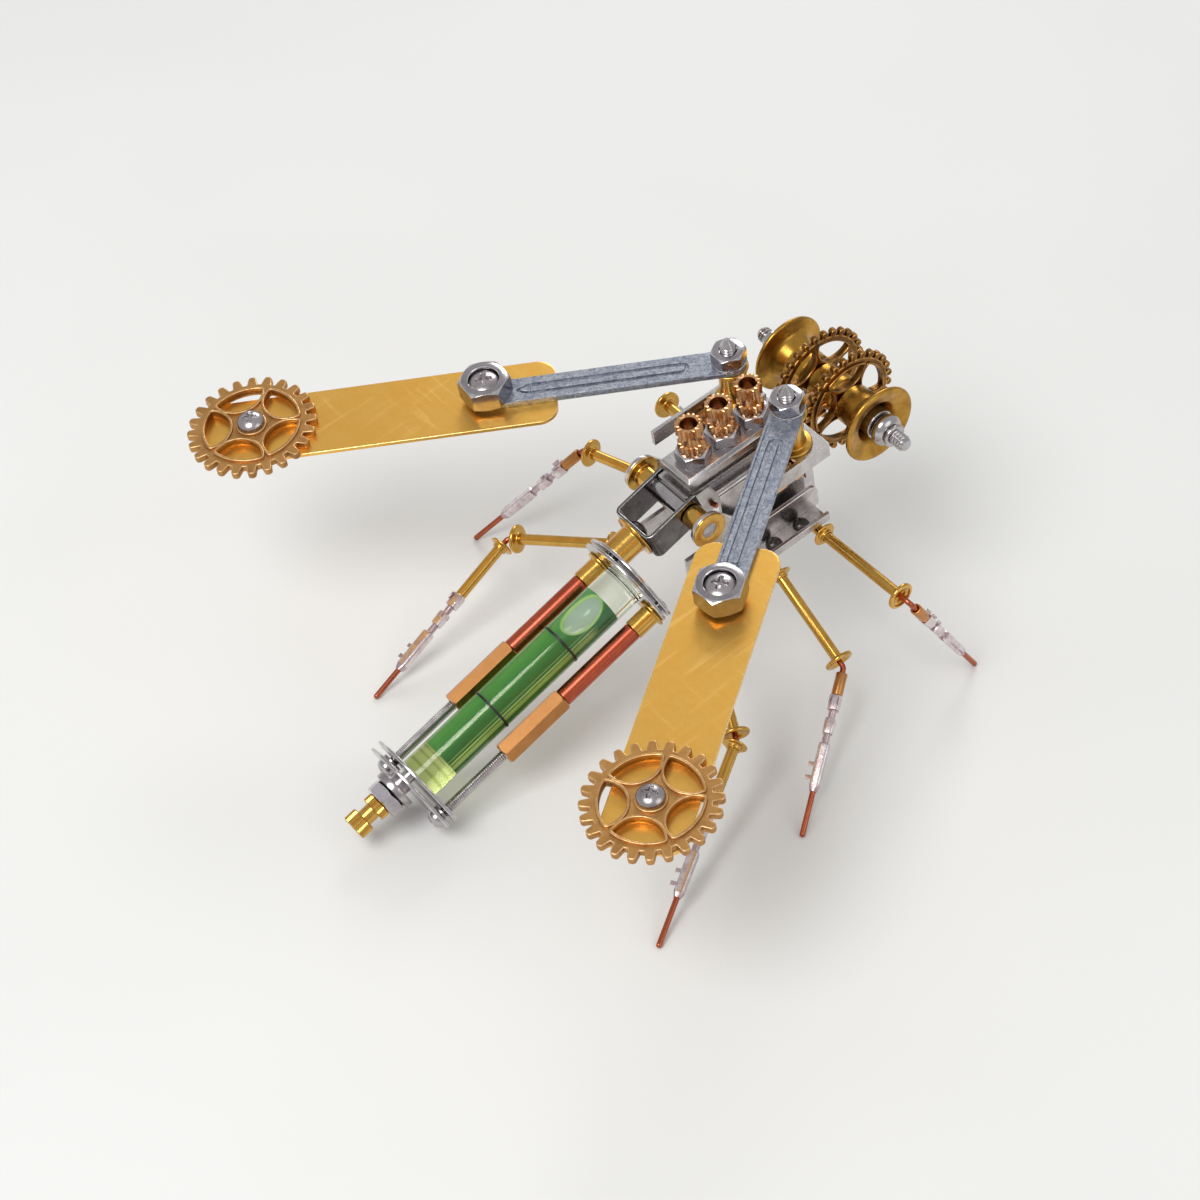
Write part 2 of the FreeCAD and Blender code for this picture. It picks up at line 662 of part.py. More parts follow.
def gear(name, radius, root, rim, hub, thick, spoke, count, bore, frame, at, along):
    """A spoked gear: patterned teeth, arched openings between curved spokes, raised rims."""
    body = doc.addObject("PartDesign::Body", name)
    plane = next(f for f in body.Origin.OriginFeatures if f.Role == "XY_Plane")

    def sketch(label):
        drawing = body.newObject("Sketcher::SketchObject", f"{name}_{label}")
        drawing.AttachmentSupport = [(plane, "")]
        drawing.MapMode = "FlatFace"
        return drawing

    out, low, inside = getattr(s, radius), getattr(s, root), getattr(s, rim)
    core, width = getattr(s, hub), getattr(s, spoke)
    disc = sketch("disc")
    disc.addGeometry(circle(0, 0, low), False)
    blank = body.newObject("PartDesign::Pad", name + "_blank")
    blank.Profile = disc
    bind(blank, Length=f"{thick} - gearraise")
    tooth = sketch("tooth")
    pitch = 2 * math.pi * low / getattr(s, count)
    wide, tip = pitch * 0.30, pitch * 0.21
    tooth.addGeometry(
        rounded([(low - 0.4, -wide), (out, -tip), (out, tip), (low - 0.4, wide)], [0, tip * 0.9, tip * 0.9, 0]), False
    )
    teeth = body.newObject("PartDesign::Pad", name + "_tooth")
    teeth.Profile = tooth
    bind(teeth, Length=f"{thick} - gearraise")
    ring = body.newObject("PartDesign::PolarPattern", name + "_teeth")
    ring.Originals = [teeth]
    ring.Axis = (tooth, ["N_Axis"])
    ring.Angle = 360
    bind(ring, Occurrences=count)
    body.Tip = ring
    raised = sketch("raised")
    raised.addGeometry(circle(0, 0, low - 0.35), False)
    face = body.newObject("PartDesign::Pad", name + "_face")
    face.Profile = raised
    bind(face, Length=thick)
    # one opening: an arc along the rim, two spoke flanks and an arch towards the hub
    window = sketch("window")
    share = 2 * math.pi / s.gearspokes
    halfspan = share / 2 - width / 2 / inside
    a = Vector(inside * math.cos(-halfspan), inside * math.sin(-halfspan), 0)
    b = Vector(inside * math.cos(halfspan), inside * math.sin(halfspan), 0)
    depth = core + width * 0.55
    near = Vector(depth * 1.0, 0, 0)
    rimarc = Part.Arc(a, Vector(inside, 0, 0), b)
    arch = Part.Arc(b, near, a)
    window.addGeometry([rimarc, arch], False)
    opening = body.newObject("PartDesign::Pocket", name + "_opening")
    opening.Profile = window
    opening.Type = "ThroughAll"
    opening.Reversed = True
    openings = body.newObject("PartDesign::PolarPattern", name + "_openings")
    openings.Originals = [opening]
    openings.Axis = (window, ["N_Axis"])
    openings.Angle = 360
    bind(openings, Occurrences="gearspokes")
    body.Tip = openings
    eye = sketch("eye")
    eye.addGeometry(circle(0, 0, bore), False)
    hole = body.newObject("PartDesign::Pocket", name + "_bore")
    hole.Profile = eye
    hole.Type = "ThroughAll"
    hole.Reversed = True
    body.Tip = hole
    finish(name, [body], frame * turned(at, along))


def wing(tag):
    frame = wings[tag]
    foot = s.wingfoot
    half = s.strutwidth / 2
    end = s.strutlength
    # strut: a round tab about the stud, a straight blank, a round end under the large nut
    outline = [
        Part.Arc(Vector(0, half, 0), Vector(-half, 0, 0), Vector(0, -half, 0)),
        Part.LineSegment(Vector(0, -half, 0), Vector(end, -half, 0)),
        Part.Arc(Vector(end, -half, 0), Vector(end + half, 0, 0), Vector(end, half, 0)),
        Part.LineSegment(Vector(end, half, 0), Vector(0, half, 0)),
    ]
    holes = [circle(0, 0, s.studradius + s.looseplay), circle(end, 0, s.pivotradius + s.fit)]
    blank = slab(f"strut_{tag}_blank", [outline] + holes, "strutthick", (0, 0, foot))
    grooves = []
    for i, side in enumerate((1, -1)):
        middle = side * s.groovegap / 2 + side * s.groovewidth / 2
        long = [
            (s.groovestart, middle - s.groovewidth / 2), (s.grooveend, middle - s.groovewidth / 2),
            (s.grooveend, middle + s.groovewidth / 2), (s.groovestart, middle + s.groovewidth / 2),
        ]
        grooves.append(slab(f"strut_{tag}_groove_{i}", [rounded(long, s.groovewidth * 0.45)], "strutthick",
                            (0, 0, foot + s.strutthick - s.groovedepth)))
    tail = s.grooveend + s.pointgap
    point = [(tail, -s.pointhalf), (tail + s.pointlong, 0), (tail, s.pointhalf)]
    grooves.append(slab(f"strut_{tag}_point", [rounded(point, 0.2)], "strutthick",
                        (0, 0, foot + s.strutthick - s.groovedepth)))
    finish(f"strut_{tag}", [cut(f"strut_{tag}_form", blank, grooves)], frame)
    # large nut on the strut, with the pivot screw's head sunk in its hole
    top = foot + s.strutthick
    finish(f"large_nut_{tag}", [hexnut(f"large_nut_{tag}_body", "bignutflats", "bignutbore", "bignutheight", (end, 0, top))],
           frame)
    low = foot - s.bladethick
    head = rod(f"pivot_head_{tag}", "panradius", "pivothead", (end, 0, top))
    cap = dome(f"pivot_cap_{tag}", "panradius", "domeheight", (end, 0, top + s.pivothead))
    shank = rod(f"pivot_shank_{tag}", "pivotradius", "strutthick + bladethick + 0.6", (end, 0, low - 0.6))
    nut = rod(f"pivot_rivet_{tag}", "panradius", "0.6", (end, 0, low - 0.6))
    finish(f"pivot_screw_{tag}", [fuse(f"pivot_{tag}", [head, cap, shank, nut])], frame)
    # blade
    wide = s.bladewidth / 2
    far = end + s.bladereach + s.bladeouter
    corners = [(end - s.bladeinner, -wide), (far, -wide), (far, wide), (end - s.bladeinner, wide)]
    holes = [circle(end, 0, s.pivotradius + s.looseplay), circle(end + s.bladereach, 0, s.pivotradius + s.fit)]
    plate = slab(f"wing_plate_{tag}", [rounded(corners, s.bladecorner)] + holes, "bladethick", (0, 0, low))
    finish(f"wing_plate_{tag}", [plate], frame)
    middle = end + s.bladereach
    gear(f"wing_gear_{tag}", "gearradius", "gearroot", "gearrim", "gearhub", "gearthick", "gearspoke",
         "gearteeth", s.pivotradius + s.looseplay, frame, (middle, 0, foot), "z")
    up = foot + s.gearthick + s.looseplay
    head = rod(f"gear_head_{tag}", "panradius", "panheight * 0.4", (middle, 0, up))
    cap = dome(f"gear_cap_{tag}", "panradius", "domeheight", (middle, 0, up + s.panheight * 0.4))
    shank = rod(f"gear_shank_{tag}", "pivotradius", "gearthick + looseplay + bladethick + 0.6", (middle, 0, low - 0.6))
    nut = rod(f"gear_rivet_{tag}", "panradius", "0.6", (middle, 0, low - 0.6))
    finish(f"gear_screw_{tag}", [fuse(f"gear_pin_{tag}", [head, cap, shank, nut])], frame)


def revolve(name, points, at, rotation):
    """A profile of (distance along, radius) turned about its axis."""
    sketch = doc.addObject("Sketcher::SketchObject", name + "_profile")
    sketch.addGeometry(rounded([(r, z) for z, r in points], 0), False)
    thing = doc.addObject("Part::Revolution", name)
    thing.Source = sketch
    thing.Axis = (0, 1, 0)
    thing.Base = (0, 0, 0)
    thing.Angle = 360
    thing.Solid = True
    # the profile's own axis is its Y, so it is first stood up along Z
    thing.Placement = Placement(Vector(*at), rotation * Rotation(Vector(1, 0, 0), 90))
    return thing


def head():
    y, z = s.headfront, s.headhigh
    bolt = rod("head_bolt_shaft", "headboltradius", "2 * headbolt", (-s.headbolt, y, z), "x")
    finish("head_bolt", [bolt], thorax)
    drum = slab("center_drum", [circle(0, 0, s.barrelradius), circle(0, 0, s.headboltradius + s.fit)],
                "2 * barrelhalf", (-s.barrelhalf, y, z), "x")
    finish("center_barrel", [drum], thorax)
    eyes, nuts = [], []
    start = s.barrelhalf + s.headgearthick + 2 * s.looseplay
    for side in (1, -1):
        tag = "left" if side > 0 else "right"
        turn = ALONG["x"] if side > 0 else Rotation(Vector(0, 1, 0), -90)
        long = s.eyeouter - start
        hollow = s.headboltradius + s.fit
        flare = s.eyeflare
        w = s.eyewall
        # an open bell: a floor on the bolt, a barrel wall, and a flare out to the rim
        points = [
            (0, hollow), (0, s.eyebarrel), (long - flare, s.eyebarrel), (long - flare * 0.4, s.eyebarrel + 1.0),
            (long - w, s.eyeflange), (long, s.eyeflange), (long, s.eyeflange - 0.9),
            (long - flare * 0.35, s.eyebarrel + 0.3), (long - flare, s.eyebarrel - w), (w + 1.0, s.eyebarrel - w),
            (w + 1.0, hollow),
        ]
        eyes.append(revolve(f"eye_{tag}", points, (side * start, y, z), turn))
        base = side * (start + w + 1.0)
        sleeve = slab(f"end_sleeve_{tag}", [circle(0, 0, s.eyebarrel - w - 0.3), circle(0, 0, hollow)],
                      "eyeouter - barrelhalf - headgearthick - 2 * looseplay - eyewall - 1.0",
                      (base, y, z), turn)
        outer = side * s.eyeouter
        wide, high = s.endnut, s.endnutheight
        points = [
            (0, hollow), (0, wide), (high * 0.2, wide), (high * 0.5, wide * 0.92), (high * 0.8, wide * 0.75),
            (high, wide * 0.55), (high, hollow),
        ]
        nut = revolve(f"end_nut_{tag}", points, (outer, y, z), turn)
        nuts.append(fuse(f"end_stack_{tag}", [sleeve, nut]))
        across = s.headfront
        gear(f"head_gear_{tag}", "headgearradius", "headgearroot", "headgearrim", "headgearhub", "headgearthick",
             "headgearspoke", "headteeth", s.headboltradius + s.looseplay, thorax,
             (side * (s.barrelhalf + s.looseplay), across, z), turn)
    finish("eye_bushes", eyes, thorax)
    finish("head_end_nuts", nuts, thorax)
    neck = star("neck_band", "insertradius", "-headfront + channelfront", (0, s.headfront, s.neckhigh), "y", s.insertbore)
    seat = rod("neck_seat", "barrelradius", "4 * barrelhalf", (-2 * s.barrelhalf, y, z), "x")
    finish("neck_insert", [cut("neck_form", neck, [seat])], thorax)


def yoke():
    reach, high, wall, lobe = s.yokereach, s.yokehigh, s.sheet, s.yokelobe
    inner = s.spacerhalf + s.looseplay / 2
    points = [
        (-inner - wall, -lobe), (-inner - wall, reach + wall), (inner + wall, reach + wall), (inner + wall, -lobe),
        (inner, -lobe), (inner, reach), (-inner, reach), (-inner, -lobe),
    ]
    strap = slab("yoke_strap", [rounded(points, [0.1, 1.2, 1.2, 0.1, 0.1, 0.5, 0.5, 0.1])], "yokehigh",
                 (0, 0, -high / 2))
    # each arm narrows to a rounded end about the axle
    side = [
        (-lobe, -lobe), (lobe * 0.3, -lobe), (s.yoketaper, -high / 2), (reach + wall, -high / 2),
        (reach + wall, high / 2), (s.yoketaper, high / 2), (lobe * 0.3, lobe), (-lobe, lobe),
    ]
    arms = slab("yoke_side", [rounded(side, [lobe * 0.9, 0, 0.6, 0.6, 0.6, 0.6, 0, lobe * 0.9])],
                "2 * sidehalf", (-s.sidehalf, 0, 0), SIDEWAYS)
    form = doc.addObject("Part::Common", "yoke_blank")
    form.Base = strap
    form.Tool = arms
    axle = rod("yoke_axle_hole", "axleradius + looseplay", "2 * sidehalf", (-s.sidehalf, 0, 0), "x")
    screw = rod("yoke_screw_hole", "waistscrew + fit", "3 * sheet", (0, reach - wall, 0), "y")
    finish("yoke", [cut("yoke_form", form, [axle, screw])], yokeframe)
    head = rod("waist_head", "waisthead", "sheet", (0, reach - wall, 0), "y")
    cap = dome("waist_cap", "waisthead", "sheet", (0, reach - wall, 0), Rotation(Vector(1, 0, 0), 90))
    shank = rod("waist_shank", "waistscrew", "2 * sheet + waistlength + 2 * earplate", (0, reach - wall, 0), "y")
    finish("waist_screw", [fuse("waist_form", [head, cap, shank])], yokeframe)
    ring = eyelet("waist_eyelet", "waistscrew + looseplay", "waistradius", "waistflange", "waistrim", "waistlength",
                  (0, reach + wall, 0), "y")
    finish("waist_eyelet", [ring], yokeframe)


def earoutline():
    """A plate with a round middle and an ear at each side, drawn as tangent arcs and lines."""
    gap, big, small = s.earhalf - s.earradius, s.hubradius, s.earradius
    lean = math.acos((big - small) / gap)
    top = Vector(big * math.cos(lean), big * math.sin(lean), 0)
    ear = Vector(gap + small * math.cos(lean), small * math.sin(lean), 0)

    def flip(p, a, b):
        return Vector(p.x * a, p.y * b, 0)

    return [
        Part.Arc(top, Vector(0, big, 0), flip(top, -1, 1)),
        Part.LineSegment(flip(top, -1, 1), flip(ear, -1, 1)),
        Part.Arc(flip(ear, -1, 1), Vector(-s.earhalf, 0, 0), flip(ear, -1, -1)),
        Part.LineSegment(flip(ear, -1, -1), flip(top, -1, -1)),
        Part.Arc(flip(top, -1, -1), Vector(0, -big, 0), flip(top, 1, -1)),
        Part.LineSegment(flip(top, 1, -1), flip(ear, 1, -1)),
        Part.Arc(flip(ear, 1, -1), Vector(s.earhalf, 0, 0), flip(ear, 1, 1)),
        Part.LineSegment(flip(ear, 1, 1), top),
    ]


def earplate(name, back, middlehole, middle):
    """One end plate; back is how far along the abdomen its front face lies."""
    holes = [circle(side * s.rodhalf, -s.rodlow, s.rodradius + s.fit) for side in (1, -1)]
    holes.append(circle(middle[0], middle[1], middlehole))
    return slab(name, [earoutline()] + holes, "earplate", (0, back + s.earplate, 0), UPRIGHT)


def abdomenparts():
    long = s.abdomenlength
    plate = s.earplate
    turn = abdomen.inverse() * yokeframe
    waist = turn.multVec(Vector(0, waistend, 0))
    hub = (waist.x, waist.z)
    fronts = [
        earplate("front_plate_0", 0, s.waistscrew + s.looseplay, hub),
        earplate("front_plate_1", plate, s.waistscrew + s.looseplay, hub),
    ]
    start = 2 * plate
    tail = (s.tailside, s.tailhigh)
    finish("front_plates", fronts, abdomen)
    rears = [
        earplate("rear_plate_0", start + long, s.tailstud + s.fit, tail),
        earplate("rear_plate_1", start + long + plate + s.eargap, s.tailstud + s.fit, tail),
    ]
    finish("rear_plates", rears, abdomen)
    bushes, tubes, hexes, threads, spacers = [], [], [], [], []
    for side in (1, -1):
        x, z = side * s.rodhalf, -s.rodlow
        tag = "left" if side > 0 else "right"
        bushes.append(eyelet(f"rod_bush_{tag}", "rodradius + fit", "rodbush", "rodbushflange", "bushrim",
                             "rodbushlength", (x, start, z), "y"))
        place = start + s.rodbushlength
        tubes.append(slab(f"rod_tube_{tag}", [circle(0, 0, s.rodtube), circle(0, 0, s.rodradius + s.fit)],
                          "rodtubelength", (x, place, z), "y"))
        place += s.rodtubelength
        blank = hexagon(f"rod_hex_{tag}_blank", "rodhexflats", "rodhexlength", (x, place, z), "y")
        hole = rod(f"rod_hex_{tag}_hole", "rodradius + fit", "rodhexlength", (x, place, z), "y")
        hexes.append(cut(f"rod_hex_{tag}", blank, [hole]))
        end = start + long + 2 * plate + s.eargap
        shaft = rod(f"rod_shaft_{tag}", "rodradius", "4 * earplate + abdomenlength + eargap + bushrim",
                    (x, -s.bushrim, z), "y")
        front = dome(f"rod_front_{tag}", "rodhead", "sheet", (x, 0, z), Rotation(Vector(1, 0, 0), 90))
        head = dome(f"rod_head_{tag}", "rodhead", "rodheadheight", (x, end, z), "y")
        threads.append(fuse(f"rod_{tag}", [shaft, front, head]))
        spacers.append(slab(f"rod_washer_{tag}", [circle(0, 0, s.rodbush), circle(0, 0, s.rodradius + s.fit)],
                            "eargap", (x, start + long + plate, z), "y"))
    finish("rod_bushes", bushes, abdomen)
    finish("rod_tubes", tubes, abdomen)
    finish("rod_hexes", hexes, abdomen)
    finish("rod_threads", threads, abdomen)
    # vial: a clear tube with a plug at each end, nearly full of liquid
    outer, inner = s.vialradius, s.vialradius - s.vialwall
    glass = rod("vial_outside", "vialradius", "abdomenlength", (0, start, 0), "y")
    hollow = rod("vial_hollow", "vialradius - vialwall", "abdomenlength - frontplug - rearplug",
                 (0, start + s.frontplug, 0), "y")
    finish("vial_body", [cut("vial_shell", glass, [hollow])], abdomen)
    liquid = rod("liquid_column", "vialradius - vialwall", "abdomenlength - frontplug - rearplug",
                 (0, start + s.frontplug, 0), "y")
    lift = inner - s.bubbleradius - 0.15
    first = start + s.frontplug + s.bubbleradius + 0.4
    middle = rod("bubble_middle", "bubbleradius", "bubblelength - 2 * bubbleradius", (0, first, lift), "y")
    ends = []
    for i, place in enumerate((first, first + s.bubblelength - 2 * s.bubbleradius)):
        ball = doc.addObject("Part::Sphere", f"bubble_end_{i}")
        ball.Placement = turned((0, place, lift))
        ends.append(bind(ball, Radius="bubbleradius"))
    finish("vial_liquid", [cut("liquid_form", liquid, [middle] + ends)], abdomen)
    rings = []
    for i, place in enumerate((s.ringfront, s.ringrear)):
        rings.append(slab(f"vial_ring_{i}", [circle(0, 0, outer + s.ringthick), circle(0, 0, outer)],
                          "ringwidth", (0, start + place, 0), "y"))
    finish("vial_rings", rings, abdomen)
    # tail hardware behind the rear plates
    place = start + long + 2 * plate + s.eargap
    collar = slab("tail_collar", [circle(0, 0, s.tailcollar), circle(0, 0, s.tailstud + s.fit)],
                  "tailcollarlength", (s.tailside, place, s.tailhigh), "y")
    place += s.tailcollarlength
    dishes = spacers + [collar]
    for i in range(2):
        r, t, hole = s.dishradius, s.dishthick, s.tailstud + s.fit
        points = [(0, hole), (0.0, r * 0.7), (-0.35, r), (t - 0.35, r), (t, r * 0.7), (t, hole)]
        dishes.append(revolve(f"tail_dish_{i}", points, (s.tailside, place + i * t, s.tailhigh), ALONG["y"]))
    finish("abdomen_washers", dishes, abdomen)
    place += 2 * s.dishthick
    finish("tail_nut", [hexnut("tail_nut_body", "tailnutflats", "tailstud + fit", "nutheight",
                               (s.tailside, place, s.tailhigh), "y")], abdomen)
    stud = rod("tail_stud", "tailstud", "2 * earplate + eargap + tailcollarlength + 2 * dishthick + nutheight - studback",
               (s.tailside, start + long, s.tailhigh), "y")
    finish("tail_stud", [stud], abdomen)
    place += s.nutheight
    body = insert("tail_insert_body", "tailinsert", (s.tailside, place, s.tailhigh), "y", s.tailbore, s.tailneck)
    finish("tail_insert", [body], abdomen)


# legs: name, knee and foot in the standing frame, with two eyelets and a long shin tube on a rear leg
legs = [
    ("fl", Vector(34.0, -3.3, 25.0), Vector(36.5, -20.0, s.wireradius), False),
    ("ml", Vector(33.0, 15.0, 23.4), Vector(46.5, 30.2, s.wireradius), False),
    ("rl", Vector(30.7, 34.2, 14.5), Vector(24.9, 68.2, s.wireradius), True),
    ("fr", Vector(-34.5, -3.3, 25.3), Vector(-35.1, -19.9, s.wireradius), False),
    ("mr", Vector(-31.1, 8.3, 14.5), Vector(-46.6, 30.3, s.wireradius), False),
    ("rr", Vector(-31.3, 32.4, 12.5), Vector(-50.2, 64.4, s.wireradius), True),
]


def pose(point, way):
    return Placement(point, Rotation(Vector(0, 0, 1), way))


def legparts():
    tubes, eyelets, barrels, crimps = [], [], [], []
    level = Placement()
    for (name, knee, foot, rear), (side, place) in zip(legs, hips()):
        start = thoraxpoint((side * (s.channelhalf - s.hipinset), place, s.hiphigh))
        thigh = (knee - start).normalize()
        shin = (foot - knee).normalize()
        half = thigh.getAngle(shin * -1) / 2
        back = s.wirebend / math.tan(half)
        one, two = knee - thigh * back, knee + shin * back
        inward = (shin - thigh).normalize()
        middle = knee + inward * (s.wirebend / math.sin(half) - s.wirebend)
        path = Part.Wire([
            Part.LineSegment(start, one).toShape(), Part.Arc(one, middle, two).toShape(),
            Part.LineSegment(two, foot).toShape(),
        ])
        ring = Part.Wire(Part.Circle(start, thigh, s.wireradius).toShape())
        pipe = path.makePipeShell([ring], True, False)
        tip = Part.makeSphere(s.wireradius, foot)
        wire = doc.addObject("Part::Feature", f"leg_wire_{name}")
        wire.Shape = pipe.fuse(tip)
        wire.Label = f"leg_wire_{name}"
        finals.append((wire, level))
        # thigh tube from the channel wall to the knee, an eyelet at each end
        wall = (s.channelhalf + s.sheet + 0.9 - abs(inthorax(start).x)) / abs(
            thorax.Rotation.inverted().multVec(thigh).x)
        gap = s.eyeletflange / math.tan(half) + s.kneegap
        length = (knee - start).Length - wall - gap - s.eyeletlength
        outer = slab(f"thigh_{name}", [circle(0, 0, s.legtube), circle(0, 0, s.wireradius + s.fit)], str(length))
        outer.Placement = pose(start + thigh * wall, thigh)
        tubes.append(outer)
        for i, where in enumerate((wall + s.legcollar, wall + length)):
            bore = "legtube + fit" if i == 0 else "wireradius + fit"
            ring = eyelet(f"leg_eyelet_{name}_{i}", bore, "legtube + eyeletwall + fit", "eyeletflange", "eyeletwall",
                          "eyeletlength", (0, 0, 0), "z")
            way = thigh if i == 0 else thigh * -1
            shift = where if i == 0 else where + s.eyeletlength
            ring.Placement = pose(start + thigh * shift, way)
            eyelets.append(ring)
        here = gap
        if rear:
            ring = eyelet(f"leg_eyelet_{name}_2", "wireradius + fit", "legtube + eyeletwall + fit", "eyeletflange",
                          "eyeletwall", "eyeletlength", (0, 0, 0), "z")
            ring.Placement = pose(knee + shin * here, shin)
            eyelets.append(ring)
            here += s.eyeletlength
            tube = slab(f"shin_{name}", [circle(0, 0, s.legtube), circle(0, 0, s.wireradius + s.fit)], "shintube")
            tube.Placement = pose(knee + shin * here, shin)
            tubes.append(tube)
            here += s.shintube
        else:
            sleeve = slab(f"barrel_{name}", [circle(0, 0, s.legtube), circle(0, 0, s.wireradius + s.fit)], "legbarrel")
            sleeve.Placement = pose(knee + shin * here, shin)
            barrels.append(sleeve)
            here += s.legbarrel
        crimps.append(crimp(name, knee + shin * here, shin))
    finish("leg_tubes", tubes, level)
    finish("leg_eyelets", eyelets, level)
    finish("leg_barrels", barrels, level)
    finish("leg_crimps", crimps, level)


def crimp(name, at, way):
    """A pressed terminal: two rolled bands on a thin neck, then a square socket with a window."""
    long, band, side = s.crimplength, s.crimpband, s.crimpbox
    neck = rod(f"crimp_neck_{name}", "crimpband * 0.62", "crimplength * 0.6")
    first = rod(f"crimp_first_{name}", "crimpband", "crimplength * 0.16")
    second = rod(f"crimp_second_{name}", "crimpband * 0.9", "crimplength * 0.18", (0, 0, long * 0.26))
    socket = box(f"crimp_socket_{name}", "crimpbox", "crimpbox", "crimplength * 0.46",
                 (-side / 2, -side / 2, long * 0.54))
    bore = rod(f"crimp_bore_{name}", "wireradius + fit", "crimplength")
    slit = box(f"crimp_slit_{name}", "0.35", "crimpband * 2", "crimplength * 0.5", (-0.175, s.wireradius, -0.01))
    window = box(f"crimp_window_{name}", "crimpbox * 2", "crimpbox * 0.4", "crimplength * 0.16",
                 (-side, s.wireradius * 0.2, long * 0.66))
    shape = cut(f"crimp_{name}", fuse(f"crimp_skin_{name}", [neck, first, second, socket]), [bore, slit, window])
    shape.Placement = pose(at, way)
    return shape


clampplate()
clampstack()
channel()
sidesheets()
crossaxle()
studs()
wing("left")
wing("right")
head()
yoke()
abdomenparts()
legparts()
doc.recompute()

for thing, frame in finals:
    thing.Placement = frame * thing.Placement if thing.TypeId == "Part::Revolution" else frame
doc.recompute()

# the figure is centred on its own box, with its feet on the ground
boxes = [thing.Shape.optimalBoundingBox(False) for thing, frame in finals]
reach = FreeCAD.BoundBox()
for one in boxes:
    reach.add(one)
shift = Vector(-reach.Center.x, -reach.Center.y, -reach.ZMin)
for thing, frame in finals:
    thing.Placement = Placement(shift, Rotation()) * thing.Placement
doc.recompute()

broken = [thing.Label for thing in doc.Objects if "Invalid" in thing.State or "Error" in thing.State]
if broken:
    raise SystemExit(f"these did not compute: {broken}")
bad = [
    thing.Label
    for thing, frame in finals
    if thing.Shape.isNull() or not thing.Shape.isValid() or not thing.Shape.Solids
]
if bad:
    raise SystemExit(f"no valid solid: {bad}")

os.makedirs("parts", exist_ok=True)
for thing, frame in finals:
    thing.Shape.exportStep(f"parts/{thing.Label}.step")
print(len(finals), "sub-parts; box", [round(v, 2) for v in (reach.XLength, reach.YLength, reach.ZLength)],
      "shift", [round(v, 3) for v in shift])
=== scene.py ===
import json
import math

import bmesh
import bpy
from mathutils import Matrix, Quaternion, Vector


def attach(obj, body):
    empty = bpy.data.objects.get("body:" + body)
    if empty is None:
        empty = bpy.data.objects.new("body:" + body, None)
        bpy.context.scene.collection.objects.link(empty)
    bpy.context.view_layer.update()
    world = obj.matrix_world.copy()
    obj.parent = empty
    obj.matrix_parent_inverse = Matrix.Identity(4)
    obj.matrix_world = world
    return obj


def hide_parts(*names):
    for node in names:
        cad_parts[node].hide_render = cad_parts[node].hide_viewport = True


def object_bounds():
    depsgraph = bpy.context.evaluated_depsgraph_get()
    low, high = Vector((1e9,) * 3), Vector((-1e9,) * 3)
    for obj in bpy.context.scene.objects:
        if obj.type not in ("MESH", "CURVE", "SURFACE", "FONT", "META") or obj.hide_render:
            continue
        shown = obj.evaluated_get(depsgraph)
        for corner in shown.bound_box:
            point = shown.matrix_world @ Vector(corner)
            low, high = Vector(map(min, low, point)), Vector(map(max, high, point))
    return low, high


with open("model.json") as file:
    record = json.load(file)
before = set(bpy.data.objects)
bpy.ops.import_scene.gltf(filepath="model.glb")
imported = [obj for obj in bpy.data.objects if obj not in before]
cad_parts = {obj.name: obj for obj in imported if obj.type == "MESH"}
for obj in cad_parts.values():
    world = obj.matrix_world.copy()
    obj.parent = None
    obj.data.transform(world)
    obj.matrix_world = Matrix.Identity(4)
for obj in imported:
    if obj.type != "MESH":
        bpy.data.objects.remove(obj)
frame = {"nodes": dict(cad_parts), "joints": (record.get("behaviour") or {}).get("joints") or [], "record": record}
nodes = frame["nodes"]
joints = {joint["name"]: joint for joint in frame["joints"]}
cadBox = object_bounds()
print("frame loaded:", len(nodes), "parts")

mm = 0.001


def axes(origin, along, up):
    # a place whose X runs along and whose Z is up
    z = Vector(up).normalized()
    x = (Vector(along) - z * Vector(along).dot(z)).normalized()
    y = z.cross(x)
    turn = Matrix((x, y, z)).transposed().to_4x4()
    return Matrix.Translation(Vector(origin)) @ turn @ Matrix.Scale(mm, 4)


places = {"wingFoot": 16.4, "waistEnd": 13.9, "abdomenSide": -2.0, "abdomenDrop": 5.0, "abdomenRoll": 11.0}
studLeft = Vector(joints["wing_sweep_left"]["pos_m"])
studRight = Vector(joints["wing_sweep_right"]["pos_m"])
up = Vector(joints["wing_sweep_left"]["axis"])
thoraxPlace = axes((studLeft + studRight) / 2 - up * places["wingFoot"] * mm, (1, 0, 0), up)


def wingPlace(tag):
    stud = Vector(joints["wing_sweep_" + tag]["pos_m"])
    elbow = Vector(joints["blade_swivel_" + tag]["pos_m"])
    return axes(stud - up * places["wingFoot"] * mm, elbow - stud, up)


back = Vector(joints["abdomen_roll"]["axis"])
yokePlace = axes(joints["abdomen_tilt"]["pos_m"], (1, 0, 0), Vector((1, 0, 0)).cross(back))
abdomenPlace = (
    yokePlace
    @ Matrix.Translation((places["abdomenSide"], places["waistEnd"], -places["abdomenDrop"]))
    @ Matrix.Rotation(math.radians(-places["abdomenRoll"]), 4, "Y")
)


